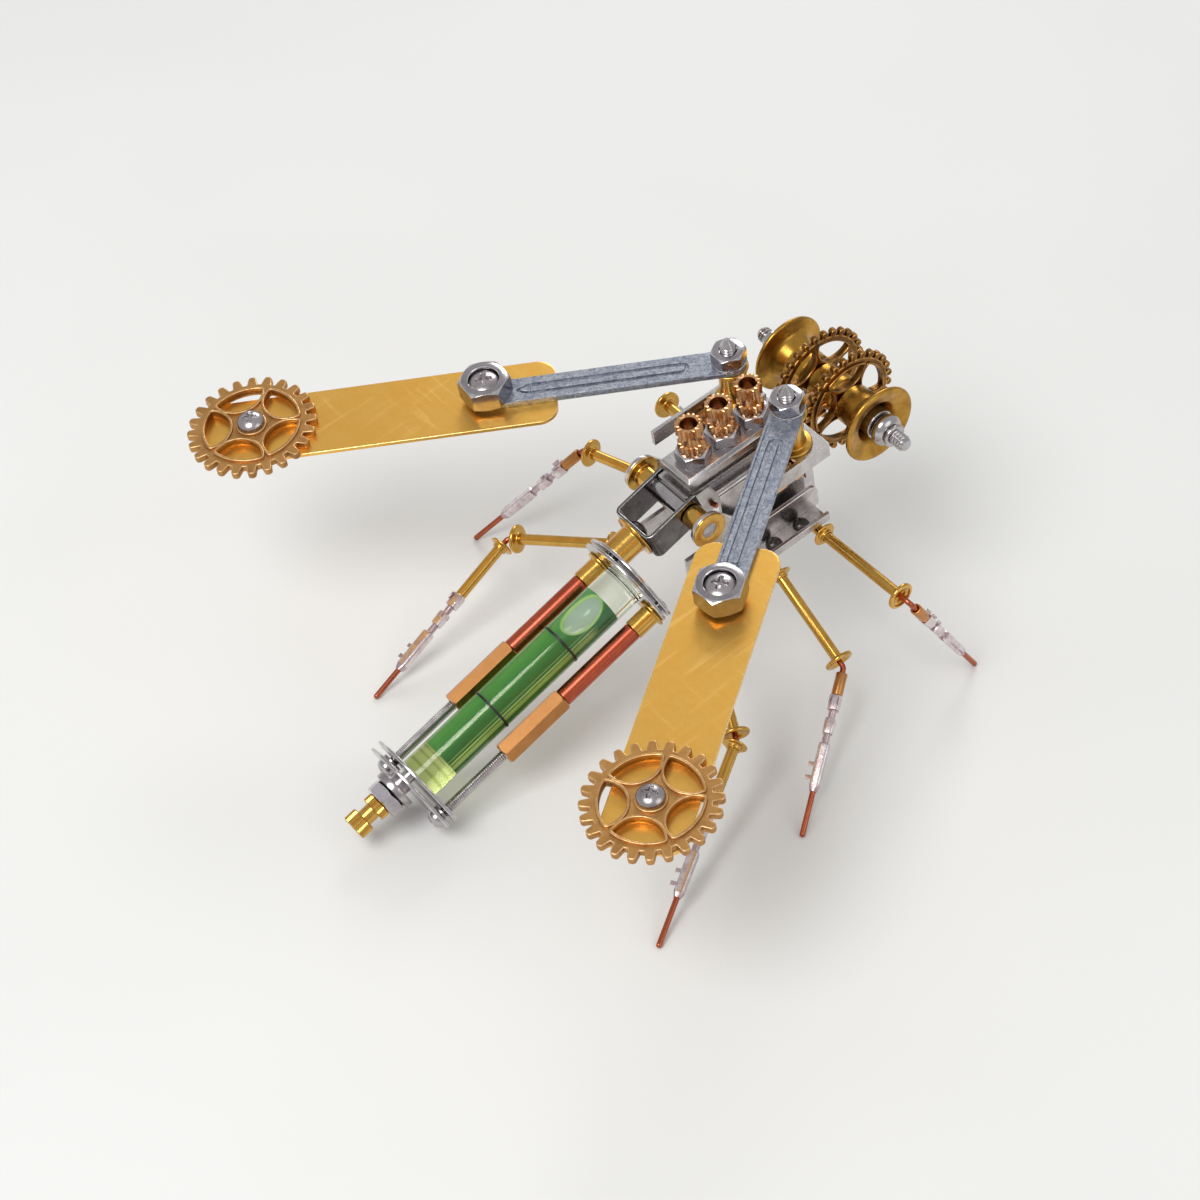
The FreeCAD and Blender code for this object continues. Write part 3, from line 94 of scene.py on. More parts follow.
class Flow:
    # wraps a socket, so that shader maths reads as plain maths
    def __init__(self, tree, socket=None):
        self.tree = tree
        self.socket = socket

    def add(self, kind, settings=None, inputs=None, out=0):
        node = self.tree.nodes.new(kind)
        for name, value in (settings or {}).items():
            setattr(node, name, value)
        for name, value in (inputs or {}).items():
            if isinstance(value, Flow):
                self.tree.links.new(value.socket, node.inputs[name])
            else:
                node.inputs[name].default_value = value
        return Flow(self.tree, node.outputs[out])

    def math(self, operation, a, b=0.0):
        return self.add("ShaderNodeMath", {"operation": operation}, {0: a, 1: b})

    def __add__(self, other):
        return self.math("ADD", self, other)

    def __radd__(self, other):
        return self.math("ADD", other, self)

    def __sub__(self, other):
        return self.math("SUBTRACT", self, other)

    def __rsub__(self, other):
        return self.math("SUBTRACT", other, self)

    def __mul__(self, other):
        return self.math("MULTIPLY", self, other)

    def __abs__(self):
        return self.math("ABSOLUTE", self)

    def band(self, low, high, first=0.0, last=1.0):
        # a value stretched between two levels, clamped
        inputs = {"Value": self, "From Min": low, "From Max": high, "To Min": first, "To Max": last}
        return self.add("ShaderNodeMapRange", {"clamp": True}, inputs)

    def noise(self, scale, detail=4.0, roughness=0.6, stretch=(1, 1, 1), turn=(0, 0, 0), distortion=0.0):
        where = self.add("ShaderNodeMapping", None, {"Vector": self, "Scale": stretch, "Rotation": turn})
        inputs = {"Vector": where, "Scale": scale, "Detail": detail, "Roughness": roughness,
                  "Distortion": distortion}
        return self.add("ShaderNodeTexNoise", None, inputs)

    def blend(self, first, second):
        # self is the share of the second colour
        return self.add("ShaderNodeMix", {"data_type": "RGBA"}, {0: self, 6: first, 7: second}, 2)

    def bump(self, strength, distance):
        # self is the height
        inputs = {"Height": self, "Strength": strength, "Distance": distance}
        return self.add("ShaderNodeBump", None, inputs)

    def attribute(self, name):
        # a value kept in the mesh
        return self.add("ShaderNodeAttribute", {"attribute_name": name}, None, 2)


def colour(words):
    # a plain hex colour as linear values
    values = [int(words[i:i + 2], 16) / 255 for i in (0, 2, 4)]
    return tuple(v / 12.92 if v <= 0.04045 else ((v + 0.055) / 1.055) ** 2.4 for v in values) + (1.0,)


def startMaterial(name):
    material = bpy.data.materials.new(name)
    material.use_nodes = True
    return material, Flow(material.node_tree).add("ShaderNodeTexCoord", None, None, 3)


def join(material, **values):
    # each value is a flow or a plain setting of the material's shader
    tree = material.node_tree
    for name, value in values.items():
        socket = tree.nodes["Principled BSDF"].inputs[name.replace("_", " ")]
        if isinstance(value, Flow):
            tree.links.new(value.socket, socket)
        else:
            socket.default_value = value
    return material


# light, dark and rubbed colour, roughness when clean and when dirty, then scratches, grain and spots
metals = {
    "polishedBrass": ("d9aa55", "8e6426", "f6dc9a", (0.16, 0.42), 0.4, 0.2, 0.35),
    "plateBrass": ("fbc462", "da9a38", "ffebb0", (0.3, 0.46), 0.6, 0.35, 0.35),
    "agedBrass": ("c69559", "6f4b2a", "ecc692", (0.42, 0.66), 0.1, 0.8, 0.5),
    "bronze": ("8d6230", "2a1b0d", "d9a55c", (0.28, 0.6), 0.1, 0.7, 0.7),
    "drumBrass": ("c2923f", "5c3d16", "e8c078", (0.24, 0.5), 0.15, 0.5, 0.5),
    "knurlCopper": ("e6b380", "8f5a36", "f8d3ac", (0.2, 0.45), 0.15, 0.3, 0.45),
    "copper": ("b9654a", "6f3222", "e29a78", (0.20, 0.45), 0.5, 0.25, 0.4),
    "hexBrass": ("c48a54", "84582f", "e2b482", (0.28, 0.46), 0.3, 0.3, 0.3),
    "brightSteel": ("c1bdbf", "716b6d", "efedec", (0.16, 0.4), 0.4, 0.2, 0.4),
    "sheetSteel": ("cdc8c7", "7f7978", "ebe7e4", (0.22, 0.46), 0.6, 0.25, 0.45),
    "yokeSteel": ("7d797a", "3a3738", "f0eeec", (0.2, 0.42), 0.4, 0.2, 0.5),
    "nutSteel": ("b4afb4", "615c64", "f2f0f0", (0.14, 0.36), 0.3, 0.2, 0.4),
    "redCopper": ("c2624a", "7c3226", "eda68c", (0.22, 0.4), 0.12, 0.15, 0.35),
    "screwSteel": ("bdb6b8", "5c5656", "f6f3f3", (0.2, 0.45), 0.3, 0.25, 0.5),
    "darkSteel": ("5f5a58", "262221", "b9b3ae", (0.25, 0.5), 0.3, 0.3, 0.5),
    "tinned": ("c8b4b8", "857277", "f0e9ea", (0.24, 0.44), 0.2, 0.2, 0.35),
}


def metal(name):
    light, dark, edge, (low, high), scratch, grain, spots = metals[name]
    material, place = startMaterial(name)
    patina = place.noise(260, 5, 0.62, distortion=0.4).band(0.40, 0.68)
    specks = place.noise(1500, 3, 0.7).band(0.55, 0.75)
    lines = place.noise(900, 2, 0.5, stretch=(1, 0.05, 0.3), turn=(0.3, 0.2, 0.6)).band(0.60, 0.72)
    cross = place.noise(1100, 2, 0.5, stretch=(0.06, 1, 0.4), turn=(0.1, 0.5, 1.3)).band(0.62, 0.74)
    scratches = (lines + cross) * scratch
    dirt = patina * spots + specks * (spots * 0.4)
    base = dirt.blend(colour(light), colour(dark))
    base = (scratches * 0.18).blend(base, colour(edge))
    wear = place.attribute("wear")
    rubbed = wear * place.noise(700, 4, 0.7).band(0.30, 0.62)
    base = (rubbed * 0.85).blend(base, colour(edge))
    roughness = low + dirt * (high - low) + scratches * 0.10 - rubbed * 0.08
    height = specks * (grain * 0.5) + patina * (grain * 0.3) - scratches * 0.12
    bump = height.bump(0.35, 0.00012)
    return join(material, Metallic=1.0, Base_Color=base, Roughness=roughness, Normal=bump)


def zincMaterial():
    # galvanised sheet: small bluish crystals with dark pores
    material, place = startMaterial("speckledZinc")
    cells = place.add("ShaderNodeTexVoronoi", {"feature": "F1"}, {"Vector": place, "Scale": 1700.0}, 1)
    grain = cells.add("ShaderNodeRGBToBW", None, {"Color": cells})
    pores = place.noise(2600, 3, 0.75).band(0.48, 0.62)
    streaks = place.noise(420, 4, 0.6).band(0.35, 0.7)
    base = grain.blend(colour("8b93a4"), colour("c3c6cc"))
    base = (pores * 0.55).blend(base, colour("4e5566"))
    base = (streaks * 0.25).blend(base, colour("6d7486"))
    roughness = 0.30 + pores * 0.22 + streaks * 0.08
    height = grain * 0.4 - pores * 0.8
    bump = height.bump(0.5, 0.00012)
    return join(material, Metallic=0.95, Base_Color=base, Roughness=roughness, Normal=bump)


def ringMaterial():
    material, place = startMaterial("blackRing")
    wear = place.noise(900, 3, 0.6).band(0.4, 0.7)
    base = wear.blend(colour("0d0e0c"), colour("22241f"))
    height = place.noise(3000, 2, 0.5)
    bump = height.bump(0.3, 0.00005)
    return join(material, Base_Color=base, Roughness=0.35 + wear * 0.25, Normal=bump)


def withinAbdomen(place, axis):
    # how far a point lies along one of the abdomen's own axes, in millimetres
    way = (abdomenPlace.to_3x3() @ Vector(axis)).normalized()
    dot = place.add("ShaderNodeVectorMath", {"operation": "DOT_PRODUCT"}, {0: place, 1: way}, 1)
    return (dot - abdomenPlace.translation.dot(way)) * 1000.0


def stripe(value, centre, half):
    # one where a value is close to a level, fading to nothing beside it
    return abs(value - centre).band(half, half * 2.0, 1.0, 0.0)


def clearMaterial():
    # clear at the front plug, more and more tinted by the liquid's green further back
    material, place = startMaterial("clearAcrylic")
    back = withinAbdomen(place, (0, 1, 0))
    haze = place.noise(500, 3, 0.6).band(0.45, 0.75)
    base = back.band(13.0, 18.0).blend(colour("f1f8ea"), colour("dfefa6"))
    base = back.band(44.0, 46.0).blend(base, colour("cfdf8c"))
    base = (haze * 0.2).blend(base, colour("cfe0b0"))
    # the steps of the rear plug
    steps = stripe(back, 45.4, 0.12) + stripe(back, 46.6, 0.1) + stripe(back, 48.4, 0.16)
    base = (steps * 0.7).blend(base, colour("93a83c"))
    height = place.noise(160, 2, 0.5)
    bump = height.bump(0.08, 0.0001)
    return join(material, Transmission_Weight=1.0, IOR=1.45, Base_Color=base,
                Roughness=0.02 + haze * 0.04, Normal=bump)


def liquidMaterial():
    # deep green, with painted shade darkening it towards one side, pale where the bubble lies
    material, place = startMaterial("greenLiquid")
    side = withinAbdomen(place, (1, 0, 0))
    depth = place.noise(90, 2, 0.5).band(0.3, 0.7)
    # painted shade: the core darkens towards one side, as if turned away from the light
    base = side.band(-1.9, 1.6).blend(colour("2a6b3c"), colour("5cae62"))
    base = (depth * 0.35).blend(base, colour("3d8a4e"))
    # light caught along one side of the wall
    angle = side.math("ARCTAN2", side, withinAbdomen(place, (0, 0, 1)))
    lit = stripe(angle, -0.92, 0.02) * 0.5 + stripe(angle, -1.14, 0.03) + stripe(angle, -1.42, 0.1) * 0.8
    lit = lit * depth.band(0.0, 1.0, 1.0, 0.6) * withinAbdomen(place, (0, 1, 0)).band(10.5, 12.5)
    base = lit.blend(base, colour("dbe88a"))
    air = place.attribute("wear")
    # painted light on the bubble: a lit lime rim round its edge and painted white glints within it
    rim = (1.0 - abs(air - 0.5) * 2.0) * 0.9
    glints = place.noise(520, 2, 0.5, stretch=(1.0, 0.25, 0.6), turn=(0.2, 0.1, 0.5)).band(0.60, 0.68)
    base = (air * 0.9).blend(base, colour("bccdc4"))
    base = (air * glints * 0.8).blend(base, colour("f4fbf2"))
    base = rim.band(0.0, 1.0).blend(base, colour("c9f08c"))
    height = place.noise(120, 2, 0.5)
    bump = height.bump(0.05, 0.0001)
    # the faint emission of the liquid's own colour is a painted glow
    return join(material, IOR=1.36, Coat_Weight=0.6, Emission_Strength=0.12, Base_Color=base,
                Emission_Color=base, Roughness=0.12 + depth * 0.08, Normal=bump)


library = {name: metal(name) for name in metals}
library["zinc"] = zincMaterial()
library["ring"] = ringMaterial()
library["clear"] = clearMaterial()
library["liquid"] = liquidMaterial()
print("materials:", len(library))

bodyOf = {n: b for b, members in frame["record"]["behaviour"]["bodies"].items() for n in members}


def added(name, data):
    thing = bpy.data.objects.new(name, data)
    bpy.context.scene.collection.objects.link(thing)
    return thing


def keep(name, shape, node, material, sharp=38):
    for edge in shape.edges:
        edge.smooth = len(edge.link_faces) == 2 and edge.calc_face_angle(0) < math.radians(sharp)
    for face in shape.faces:
        face.smooth = True
    data = bpy.data.meshes.new(name)
    shape.to_mesh(data)
    shape.free()
    data.materials.append(library[material])
    piece = added(name, data)
    piece.modifiers.new("evenNormals", "WEIGHTED_NORMAL").keep_sharp = True
    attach(piece, bodyOf[node])
    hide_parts(node)
    return piece


def softened(node, material, width):
    # a solid's own form with its sharp edges broken, as a real piece has them
    shape = bmesh.new()
    shape.from_mesh(nodes[node].data)
    bmesh.ops.remove_doubles(shape, verts=shape.verts[:], dist=2e-6)
    bmesh.ops.dissolve_limit(shape, angle_limit=math.radians(0.6), verts=shape.verts[:],
                             edges=shape.edges[:], delimit={"NORMAL"})
    edges = [e for e in shape.edges if len(e.link_faces) == 2 and e.calc_face_angle(0) > math.radians(35)]
    worn = shape.loops.layers.float.new("wear")
    made = bmesh.ops.bevel(shape, geom=edges, offset=width * mm, offset_type="OFFSET", segments=2,
                           profile=0.5, affect="EDGES", material=-1, clamp_overlap=True,
                           miter_outer="SHARP")
    for face in made["faces"]:
        for corner in face.loops:
            corner[worn] = 1.0
    return keep(node + "_form", shape, node, material)


def gather(node, material, parts, sharp=38):
    # several loose shapes, each with its place, become the one piece of a node
    whole = bmesh.new()
    whole.loops.layers.float.new("wear")
    for shape, place in parts:
        if "wear" not in shape.loops.layers.float:
            shape.loops.layers.float.new("wear")
        bmesh.ops.recalc_face_normals(shape, faces=shape.faces[:])
        spare = bpy.data.meshes.new("spare")
        shape.to_mesh(spare)
        shape.free()
        spare.transform(place)
        whole.from_mesh(spare)
        bpy.data.meshes.remove(spare)
    return keep(node + "_form", whole, node, material, sharp)


def at(place, x, y, z, way="z"):
    # a place within another, where the shape's own Z points the given way
    turns = {"z": (0, "X"), "x": (90, "Y"), "-x": (-90, "Y"), "y": (-90, "X"), "-y": (90, "X")}
    angle, axis = turns[way]
    return place @ Matrix.Translation((x, y, z)) @ Matrix.Rotation(math.radians(angle), 4, axis)


def curved(points, radii, steps=5):
    # a closed outline with its corners rounded
    result = []
    for i, point in enumerate(points):
        radius = radii[i] if isinstance(radii, (list, tuple)) else radii
        here = Vector(point)
        first, second = Vector(points[i - 1]) - here, Vector(points[(i + 1) % len(points)]) - here
        half = first.angle(second, math.pi) / 2
        if radius <= 0 or half > 1.54:
            result.append((here.x, here.y))
            continue
        reach = min(radius / math.tan(half), first.length * 0.49, second.length * 0.49)
        radius = reach * math.tan(half)
        first.normalize()
        second.normalize()
        centre = here + (first + second).normalized() * (radius / math.sin(half))
        start, end = here + first * reach - centre, here + second * reach - centre
        sweep = start.angle(end)
        for k in range(steps + 1):
            share = k / steps
            spot = start * math.sin((1 - share) * sweep) + end * math.sin(share * sweep)
            spot = centre + spot / math.sin(sweep)
            result.append((spot.x, spot.y))
    return result


def skin(rows, segments=72, ring=True, rubbed=()):
    # rows of (height, radius) about Z joined into one skin; either may be a function of the angle
    shape = bmesh.new()
    worn = shape.loops.layers.float.new("wear")
    loops = []
    for height, radius in rows:
        loop = []
        for k in range(segments):
            angle = math.tau * k / segments
            r = radius(angle) if callable(radius) else radius
            h = height(angle) if callable(height) else height
            loop.append(shape.verts.new((r * math.cos(angle), r * math.sin(angle), h)))
        loops.append(loop)
    pairs = list(zip(loops, loops[1:]))
    if ring:
        pairs.append((loops[-1], loops[0]))
    for n, (low, high) in enumerate(pairs):
        for k in range(segments):
            j = (k + 1) % segments
            face = shape.faces.new((low[k], low[j], high[j], high[k]))
            for corner in face.loops:
                corner[worn] = 1.0 if n in rubbed else 0.0
    if not ring:
        shape.faces.new(loops[0][::-1])
        shape.faces.new(loops[-1])
    bmesh.ops.remove_doubles(shape, verts=shape.verts[:], dist=1e-4)
    return shape


def plate(outlines, thick, edge=0.15, base=0.0):
    # flat stock cut to the first outline, the others are holes, every edge rounded over
    shape = bmesh.new()
    worn = shape.loops.layers.float.new("wear")
    steps = [(edge, 0.0), (edge * 0.5, edge * 0.13), (edge * 0.13, edge * 0.5), (0.0, edge)]
    levels = steps + [(inset, thick - rise) for inset, rise in reversed(steps)]
    floorEdges, roofEdges = [], []
    for n, outline in enumerate(outlines):
        area = sum(a[0] * b[1] - b[0] * a[1] for a, b in zip(outline, outline[1:] + outline[:1]))
        points = [Vector(p) for p in (outline if (area > 0) == (n == 0) else outline[::-1])]
        inward = []
        for i, here in enumerate(points):
            a, b = (here - points[i - 1]).normalized(), (points[(i + 1) % len(points)] - here).normalized()
            normal = Vector((-a.y - b.y, a.x + b.x))
            normal = normal.normalized() if normal.length > 1e-6 else Vector((-a.y, a.x))
            inward.append(normal / max(0.5, normal.dot(Vector((-a.y, a.x)))))
        loops = []
        for inset, height in levels:
            loop = [shape.verts.new((p.x + w.x * inset, p.y + w.y * inset, base + height))
                    for p, w in zip(points, inward)]
            loops.append(loop)
        for level, (low, high) in enumerate(zip(loops, loops[1:])):
            for i in range(len(points)):
                j = (i + 1) % len(points)
                face = shape.faces.new((low[i], low[j], high[j], high[i]))
                for corner in face.loops:
                    corner[worn] = 0.0 if level == 3 else 1.0
        for loop, edges in ((loops[0], floorEdges), (loops[-1], roofEdges)):
            edges += [shape.edges.get((loop[i], loop[(i + 1) % len(points)])) for i in range(len(points))]
    for edges in (floorEdges, roofEdges):
        bmesh.ops.triangle_fill(shape, use_beauty=True, use_dissolve=False, edges=edges)
    return shape


def arc(radius, first, last, count, x=0.0, y=0.0):
    # points along part of a circle, with both its ends
    angles = [first + (last - first) * k / count for k in range(count + 1)]
    return [(x + radius * math.cos(a), y + radius * math.sin(a)) for a in angles]


def disc(radius, count=64, x=0.0, y=0.0):
    return arc(radius, 0, math.tau, count, x, y)[:-1]


def box(low, high, half):
    return [(low, -half), (high, -half), (high, half), (low, half)]


def tube(radius, bore, length, round=0.15):
    return skin(curved([(0, bore), (0, radius), (length, radius), (length, bore)], round, 3))


def solidRod(radius, length):
    # a tube whose bore is closed to nothing
    return tube(radius, 0.001, length, 0)


def eyeletShape(bore, barrel, flange, rim, length):
    # a flange rolled over at its start, with a soft mouth, and a plain barrel behind it
    points = [(0.0, bore), (0.0, flange), (rim, flange), (rim, barrel), (length, barrel), (length, bore)]
    return skin(curved(points, [(flange - bore) * 0.35, rim * 0.49, rim * 0.49, 0.35, 0.12, 0.08], 5))


def hexNut(flats, bore, height, relief=0.55, mouth=0.3):
    half = flats / 2

    def corner(angle):
        return half / math.cos(angle % (math.pi / 3) - math.pi / 6)

    def lower(angle):
        return (corner(angle) - half) * relief + 0.06

    def upper(angle):
        return height - lower(angle)

    sink = min(mouth, height * 0.2)
    rows = [(sink, bore), (0.0, bore + sink), (0.0, half * 0.97), (lower, corner), (upper, corner),
            (height, half * 0.97), (height, bore + sink), (height - sink, bore)]
    return skin(rows, 72, True, (0, 2, 4, 6))


def threaded(radius, length, pitch=0.65, depth=0.32, tip=0.6, segments=42):
    # a screw thread cut along a rod, its far end turned down
    rows = []
    count = int(length / pitch * 8)
    for i in range(count + 1):
        height = length * i / count
        limit = radius - max(0.0, height - length + tip) * 0.6

        def groove(angle, height=height, limit=limit):
            turn = (height / pitch + angle / math.tau) % 1
            return min(limit, radius - depth * max(0.0, 1 - abs(2 * turn - 1) * 1.25))

        rows.append((height, groove))
    return skin(rows, segments, False)


def knurled(radius, neck, bore, bands, length, teeth, depth):
    # a turned insert with knurled bands between plain necks
    bite, lead, mouth = 0.3, 0.15, 0.25

    def ridges(cut):
        return lambda angle: radius - cut - depth * abs(2 * (angle * teeth / math.tau % 1) - 1)

    rows = [(0.0, bore)]
    spot = 0.0
    for start, end in bands:
        if start > spot + 0.01:
            rows += [(spot, neck), (start, neck)]
        rows += [(start, ridges(bite)), (start + lead, ridges(0.0))]
        rows += [(start + (end - start) * i / 6, ridges(0.0)) for i in range(1, 6)]
        rows += [(end - lead, ridges(0.0)), (end, ridges(bite))]
        spot = end
    if spot < length - 0.01:
        rows += [(spot, neck), (length, neck)]
    rows += [(length, bore + mouth), (length - bite, bore)]
    return skin(rows, teeth * 6)


def screwHead(radius, side, crown, cross=0.55, segments=96, rings=34):
    # a domed head with a cross recess
    shape = bmesh.new()
    arm, thin, soft = radius * cross, radius * 0.13, radius * 0.05

    def level(x, y):
        share = min(1.0, math.hypot(x, y) / radius)
        height = side + crown * (1 - share ** 2.4) ** 0.75
        long, short = max(abs(x), abs(y)), min(abs(x), abs(y))
        inside = min(1.0, max(0.0, (thin - short) / soft + 0.5))
        inside *= min(1.0, max(0.0, (arm - long) / (soft * 2)))
        middle = min(1.0, max(0.0, (radius * 0.24 - long - short * 0.5) / soft))
        return height - max(inside, middle) * min(side + crown, radius) * 0.3 * (1 - 0.35 * long / arm)

    centre = shape.verts.new((0, 0, level(0, 0)))
    loops = []
    for i in range(1, rings + 1):
        r = radius * i / rings
        loop = []
        for k in range(segments):
            angle = math.tau * k / segments
            x, y = r * math.cos(angle), r * math.sin(angle)
            loop.append(shape.verts.new((x, y, level(x, y))))
        loops.append(loop)
    loops.append([shape.verts.new((v.co.x, v.co.y, 0.0)) for v in loops[-1]])
    for k in range(segments):
        shape.faces.new((centre, loops[0][k], loops[0][(k + 1) % segments]))
    for low, high in zip(loops, loops[1:]):
        for k in range(segments):
            j = (k + 1) % segments
            shape.faces.new((low[k], high[k], high[j], low[j]))
    shape.faces.new(loops[-1][::-1])
    return shape


def opening(rim, core, halfspan, corner=0.5):
    # an arc along the rim closed by an arch towards the hub
    outer = arc(rim, -halfspan, halfspan, 24)
    a, near = Vector(outer[-1]), Vector((core, 0))
    x = (a.length_squared - near.length_squared) / (2 * (a.x - near.x))
    radius = abs(near.x - x)
    top = math.atan2(a.y, a.x - x)
    arch = arc(radius, top, 0 if near.x > x else math.pi, 15, x)[1:]
    mirror = [(px, -py) for px, py in reversed(arch[:-1])]
    points = outer + arch + mirror
    return curved(points, [corner if i in (0, 24) else 0 for i in range(len(points))])


def turnedOutline(outline, angle):
    c, s = math.cos(angle), math.sin(angle)
    return [(x * c - y * s, x * s + y * c) for x, y in outline]


def grown(outline, amount):
    # the same outline moved outwards everywhere
    points = [Vector(p) for p in outline]
    area = sum(a.x * b.y - b.x * a.y for a, b in zip(points, points[1:] + points[:1]))
    side = 1 if area > 0 else -1
    result = []
    for i, here in enumerate(points):
        way = (points[(i + 1) % len(points)] - points[i - 1]).normalized()
        result.append((here.x + way.y * amount * side, here.y - way.x * amount * side))
    return result


def gearShape(data):
    # teeth, disc and windows below, with a raised lip round each window and a raised hub
    teeth, out, root = data["teeth"], data["out"], data["root"]
    outline = []
    for k in range(teeth):
        if data["ball"]:
            ball = data["ball"]
            turn = math.radians(130)
            tooth = [(root, -ball * 0.62), *arc(ball, -turn, turn, 13, out - ball), (root, ball * 0.62)]
        else:
            wide, tip = data["wide"], data["tip"]
            tooth = [(root - 2, -wide), (root, -wide), (out, -tip), (out, tip), (root, wide),
                     (root - 2, wide)]
            tooth = curved(tooth, [0, 0, tip * 0.95, tip * 0.95, 0, 0])[1:-1]
        outline += turnedOutline(tooth, math.tau * k / teeth)
    share = math.tau / data["spokes"]
    halfspan = share / 2 - data["spoke"] / 2 / data["rim"]
    window = opening(data["rim"], data["hub"] + data["spoke"] * 0.55, halfspan, data["corner"])
    windows = [turnedOutline(window, share * k) for k in range(data["spokes"])]
    bore = disc(data["bore"], 40)
    low = data["thick"] - data["raise"]
    shapes = [plate([outline] + windows + [bore], low, data["edge"])]
    lip = grown(window, data["lip"])
    sunk = 0.3
    for k in range(data["spokes"]):
        around = [turnedOutline(lip, share * k), windows[k]]
        edge = min(data["raise"], data["lip"]) * 0.45
        shapes.append(plate(around, data["thick"] - sunk, edge, sunk))
    middle = [disc(data["hub"] - 0.2, 56), bore]
    shapes.append(plate(middle, data["thick"] - sunk, data["raise"] * 0.45, sunk))
    return shapes


wingGear = {"teeth": 24, "out": 11.4, "root": 9.6, "wide": 0.92, "tip": 0.62, "ball": 0, "rim": 8.2,
            "hub": 2.9, "spoke": 1.5, "spokes": 5, "bore": 1.3, "thick": 1.8, "raise": 0.4, "lip": 0.5,
            "edge": 0.2, "corner": 1.3}
headGear = {"teeth": 28, "out": 10.0, "root": 8.75, "ball": 0.66, "rim": 7.5, "hub": 2.7, "spoke": 1.2,
            "spokes": 5, "bore": 1.5, "thick": 1.5, "raise": 0.3, "lip": 0.4, "edge": 0.25, "corner": 1.2}
strut = {"long": 42.0, "wide": 5.7, "thick": 1.0, "hole": 1.5, "start": 7.0, "end": 34.5, "groove": 1.3,
         "point": 3.0, "rib": 0.55, "ribIn": 0.75, "deep": 0.35, "overlap": 0.2}
fold = {"start": 4.6, "end": 37.5, "wide": 0.55, "slope": 0.3, "high": 0.42, "sink": 0.12, "edge": 0.18}
dimple = {"start": 0.3, "end": 2.3, "half": 0.75, "corner": 0.25, "proud": 0.15, "edge": 0.2}
bigNut = {"flats": 8.0, "bore": 2.7, "height": 4.0, "relief": 0.62, "mouth": 0.14}
pivot = {"pan": 2.35, "panHigh": 0.6, "head": 2.63, "side": 3.25, "dome": 0.75, "crown": 1.1, "shank": 1.2,
         "hole": 1.23, "stemLong": 2.4, "gearStem": 3.2, "lift": 0.06}
blade = {"inner": 12.0, "reach": 41.0, "far": 49.6, "half": 7.25, "thick": 0.8, "corner": 3.4,
         "hole": 1.26, "edge": 0.14}


def rivetShapes(long, base):
    # a shank closed below by a flat rounded head
    wide, high = pivot["pan"], pivot["panHigh"]
    pan = curved([(0, 0.001), (0, wide), (high, wide), (high, 0.001)], [0, 0.35, 0.1, 0], 4)
    return [(solidRod(pivot["shank"], long), base), (skin(pan), base)]


for tag in ("left", "right"):
    wing = wingPlace(tag)
    foot, end = places["wingFoot"], strut["long"]
    top = foot + strut["thick"]
    half = strut["wide"] / 2
    quarter = math.pi / 2
    outline = arc(half, quarter, 3 * quarter, 24) + arc(half, -quarter, quarter, 24, end)
    holes = [disc(strut["hole"], 40), disc(pivot["hole"], 40, end)]
    start, stop, groove, rib, deep = (strut[key] for key in ("start", "end", "groove", "rib", "deep"))
    bed = [(start, -groove), (stop, -groove), (stop + strut["point"], 0), (stop, groove), (start, groove)]
    bed = curved(bed, [1.25, 0.5, 0.4, 0.5, 1.25], 6)
    ridge = curved(box(start + strut["ribIn"], stop, rib), [0.5, 0.2, 0.2, 0.5])
    inner, slope = fold["wide"] - half, fold["slope"]
    lip = [(fold["start"], -half), (fold["end"], -half), (fold["end"] - slope, inner),
           (fold["start"] + slope, inner)]
    if tag == "left":
        lip = [(x, -y) for x, y in reversed(lip)]
    point = [(stop + dimple["start"], -dimple["half"]), (stop + dimple["end"], 0),
             (stop + dimple["start"], dimple["half"])]
    point = curved(point, dimple["corner"], 4)
    seat = top - deep
    shapes = [plate([outline] + holes, strut["thick"] - deep, 0.12, foot),
              plate([outline] + holes + [bed], deep + strut["overlap"], 0.13, seat - strut["overlap"]),
              plate([ridge], deep, 0.14, seat), plate([lip], fold["high"], fold["edge"], top - fold["sink"]),
              plate([point], deep + dimple["proud"], dimple["edge"], seat)]
    gather("strut_" + tag, "zinc", [(shape, wing) for shape in shapes])
    gather("large_nut_" + tag, "nutSteel", [(hexNut(**bigNut), at(wing, end, 0, top))])
    low = foot - blade["thick"]
    gather("pivot_screw_" + tag, "screwSteel", [
        (screwHead(pivot["head"], pivot["side"], pivot["dome"]), at(wing, end, 0, top)),
        *rivetShapes(pivot["stemLong"], at(wing, end, 0, low - pivot["panHigh"]))])
    corners = box(end - blade["inner"], end + blade["far"], blade["half"])
    middle = end + blade["reach"]
    sheet = [curved(corners, blade["corner"], 12), disc(blade["hole"], 40, end),
             disc(pivot["hole"], 40, middle)]
    gather("wing_plate_" + tag, "plateBrass", [(plate(sheet, blade["thick"], blade["edge"], low), wing)])
    gear = at(wing, middle, 0, foot)
    gather("wing_gear_" + tag, "agedBrass", [(shape, gear) for shape in gearShape(wingGear)])
    gather("gear_screw_" + tag, "screwSteel", [
        (screwHead(pivot["pan"], pivot["panHigh"], pivot["crown"]),
         at(wing, middle, 0, foot + wingGear["thick"] + pivot["lift"])),
        *rivetShapes(pivot["gearStem"], at(wing, middle, 0, low - pivot["panHigh"]))])
print("wings placed")

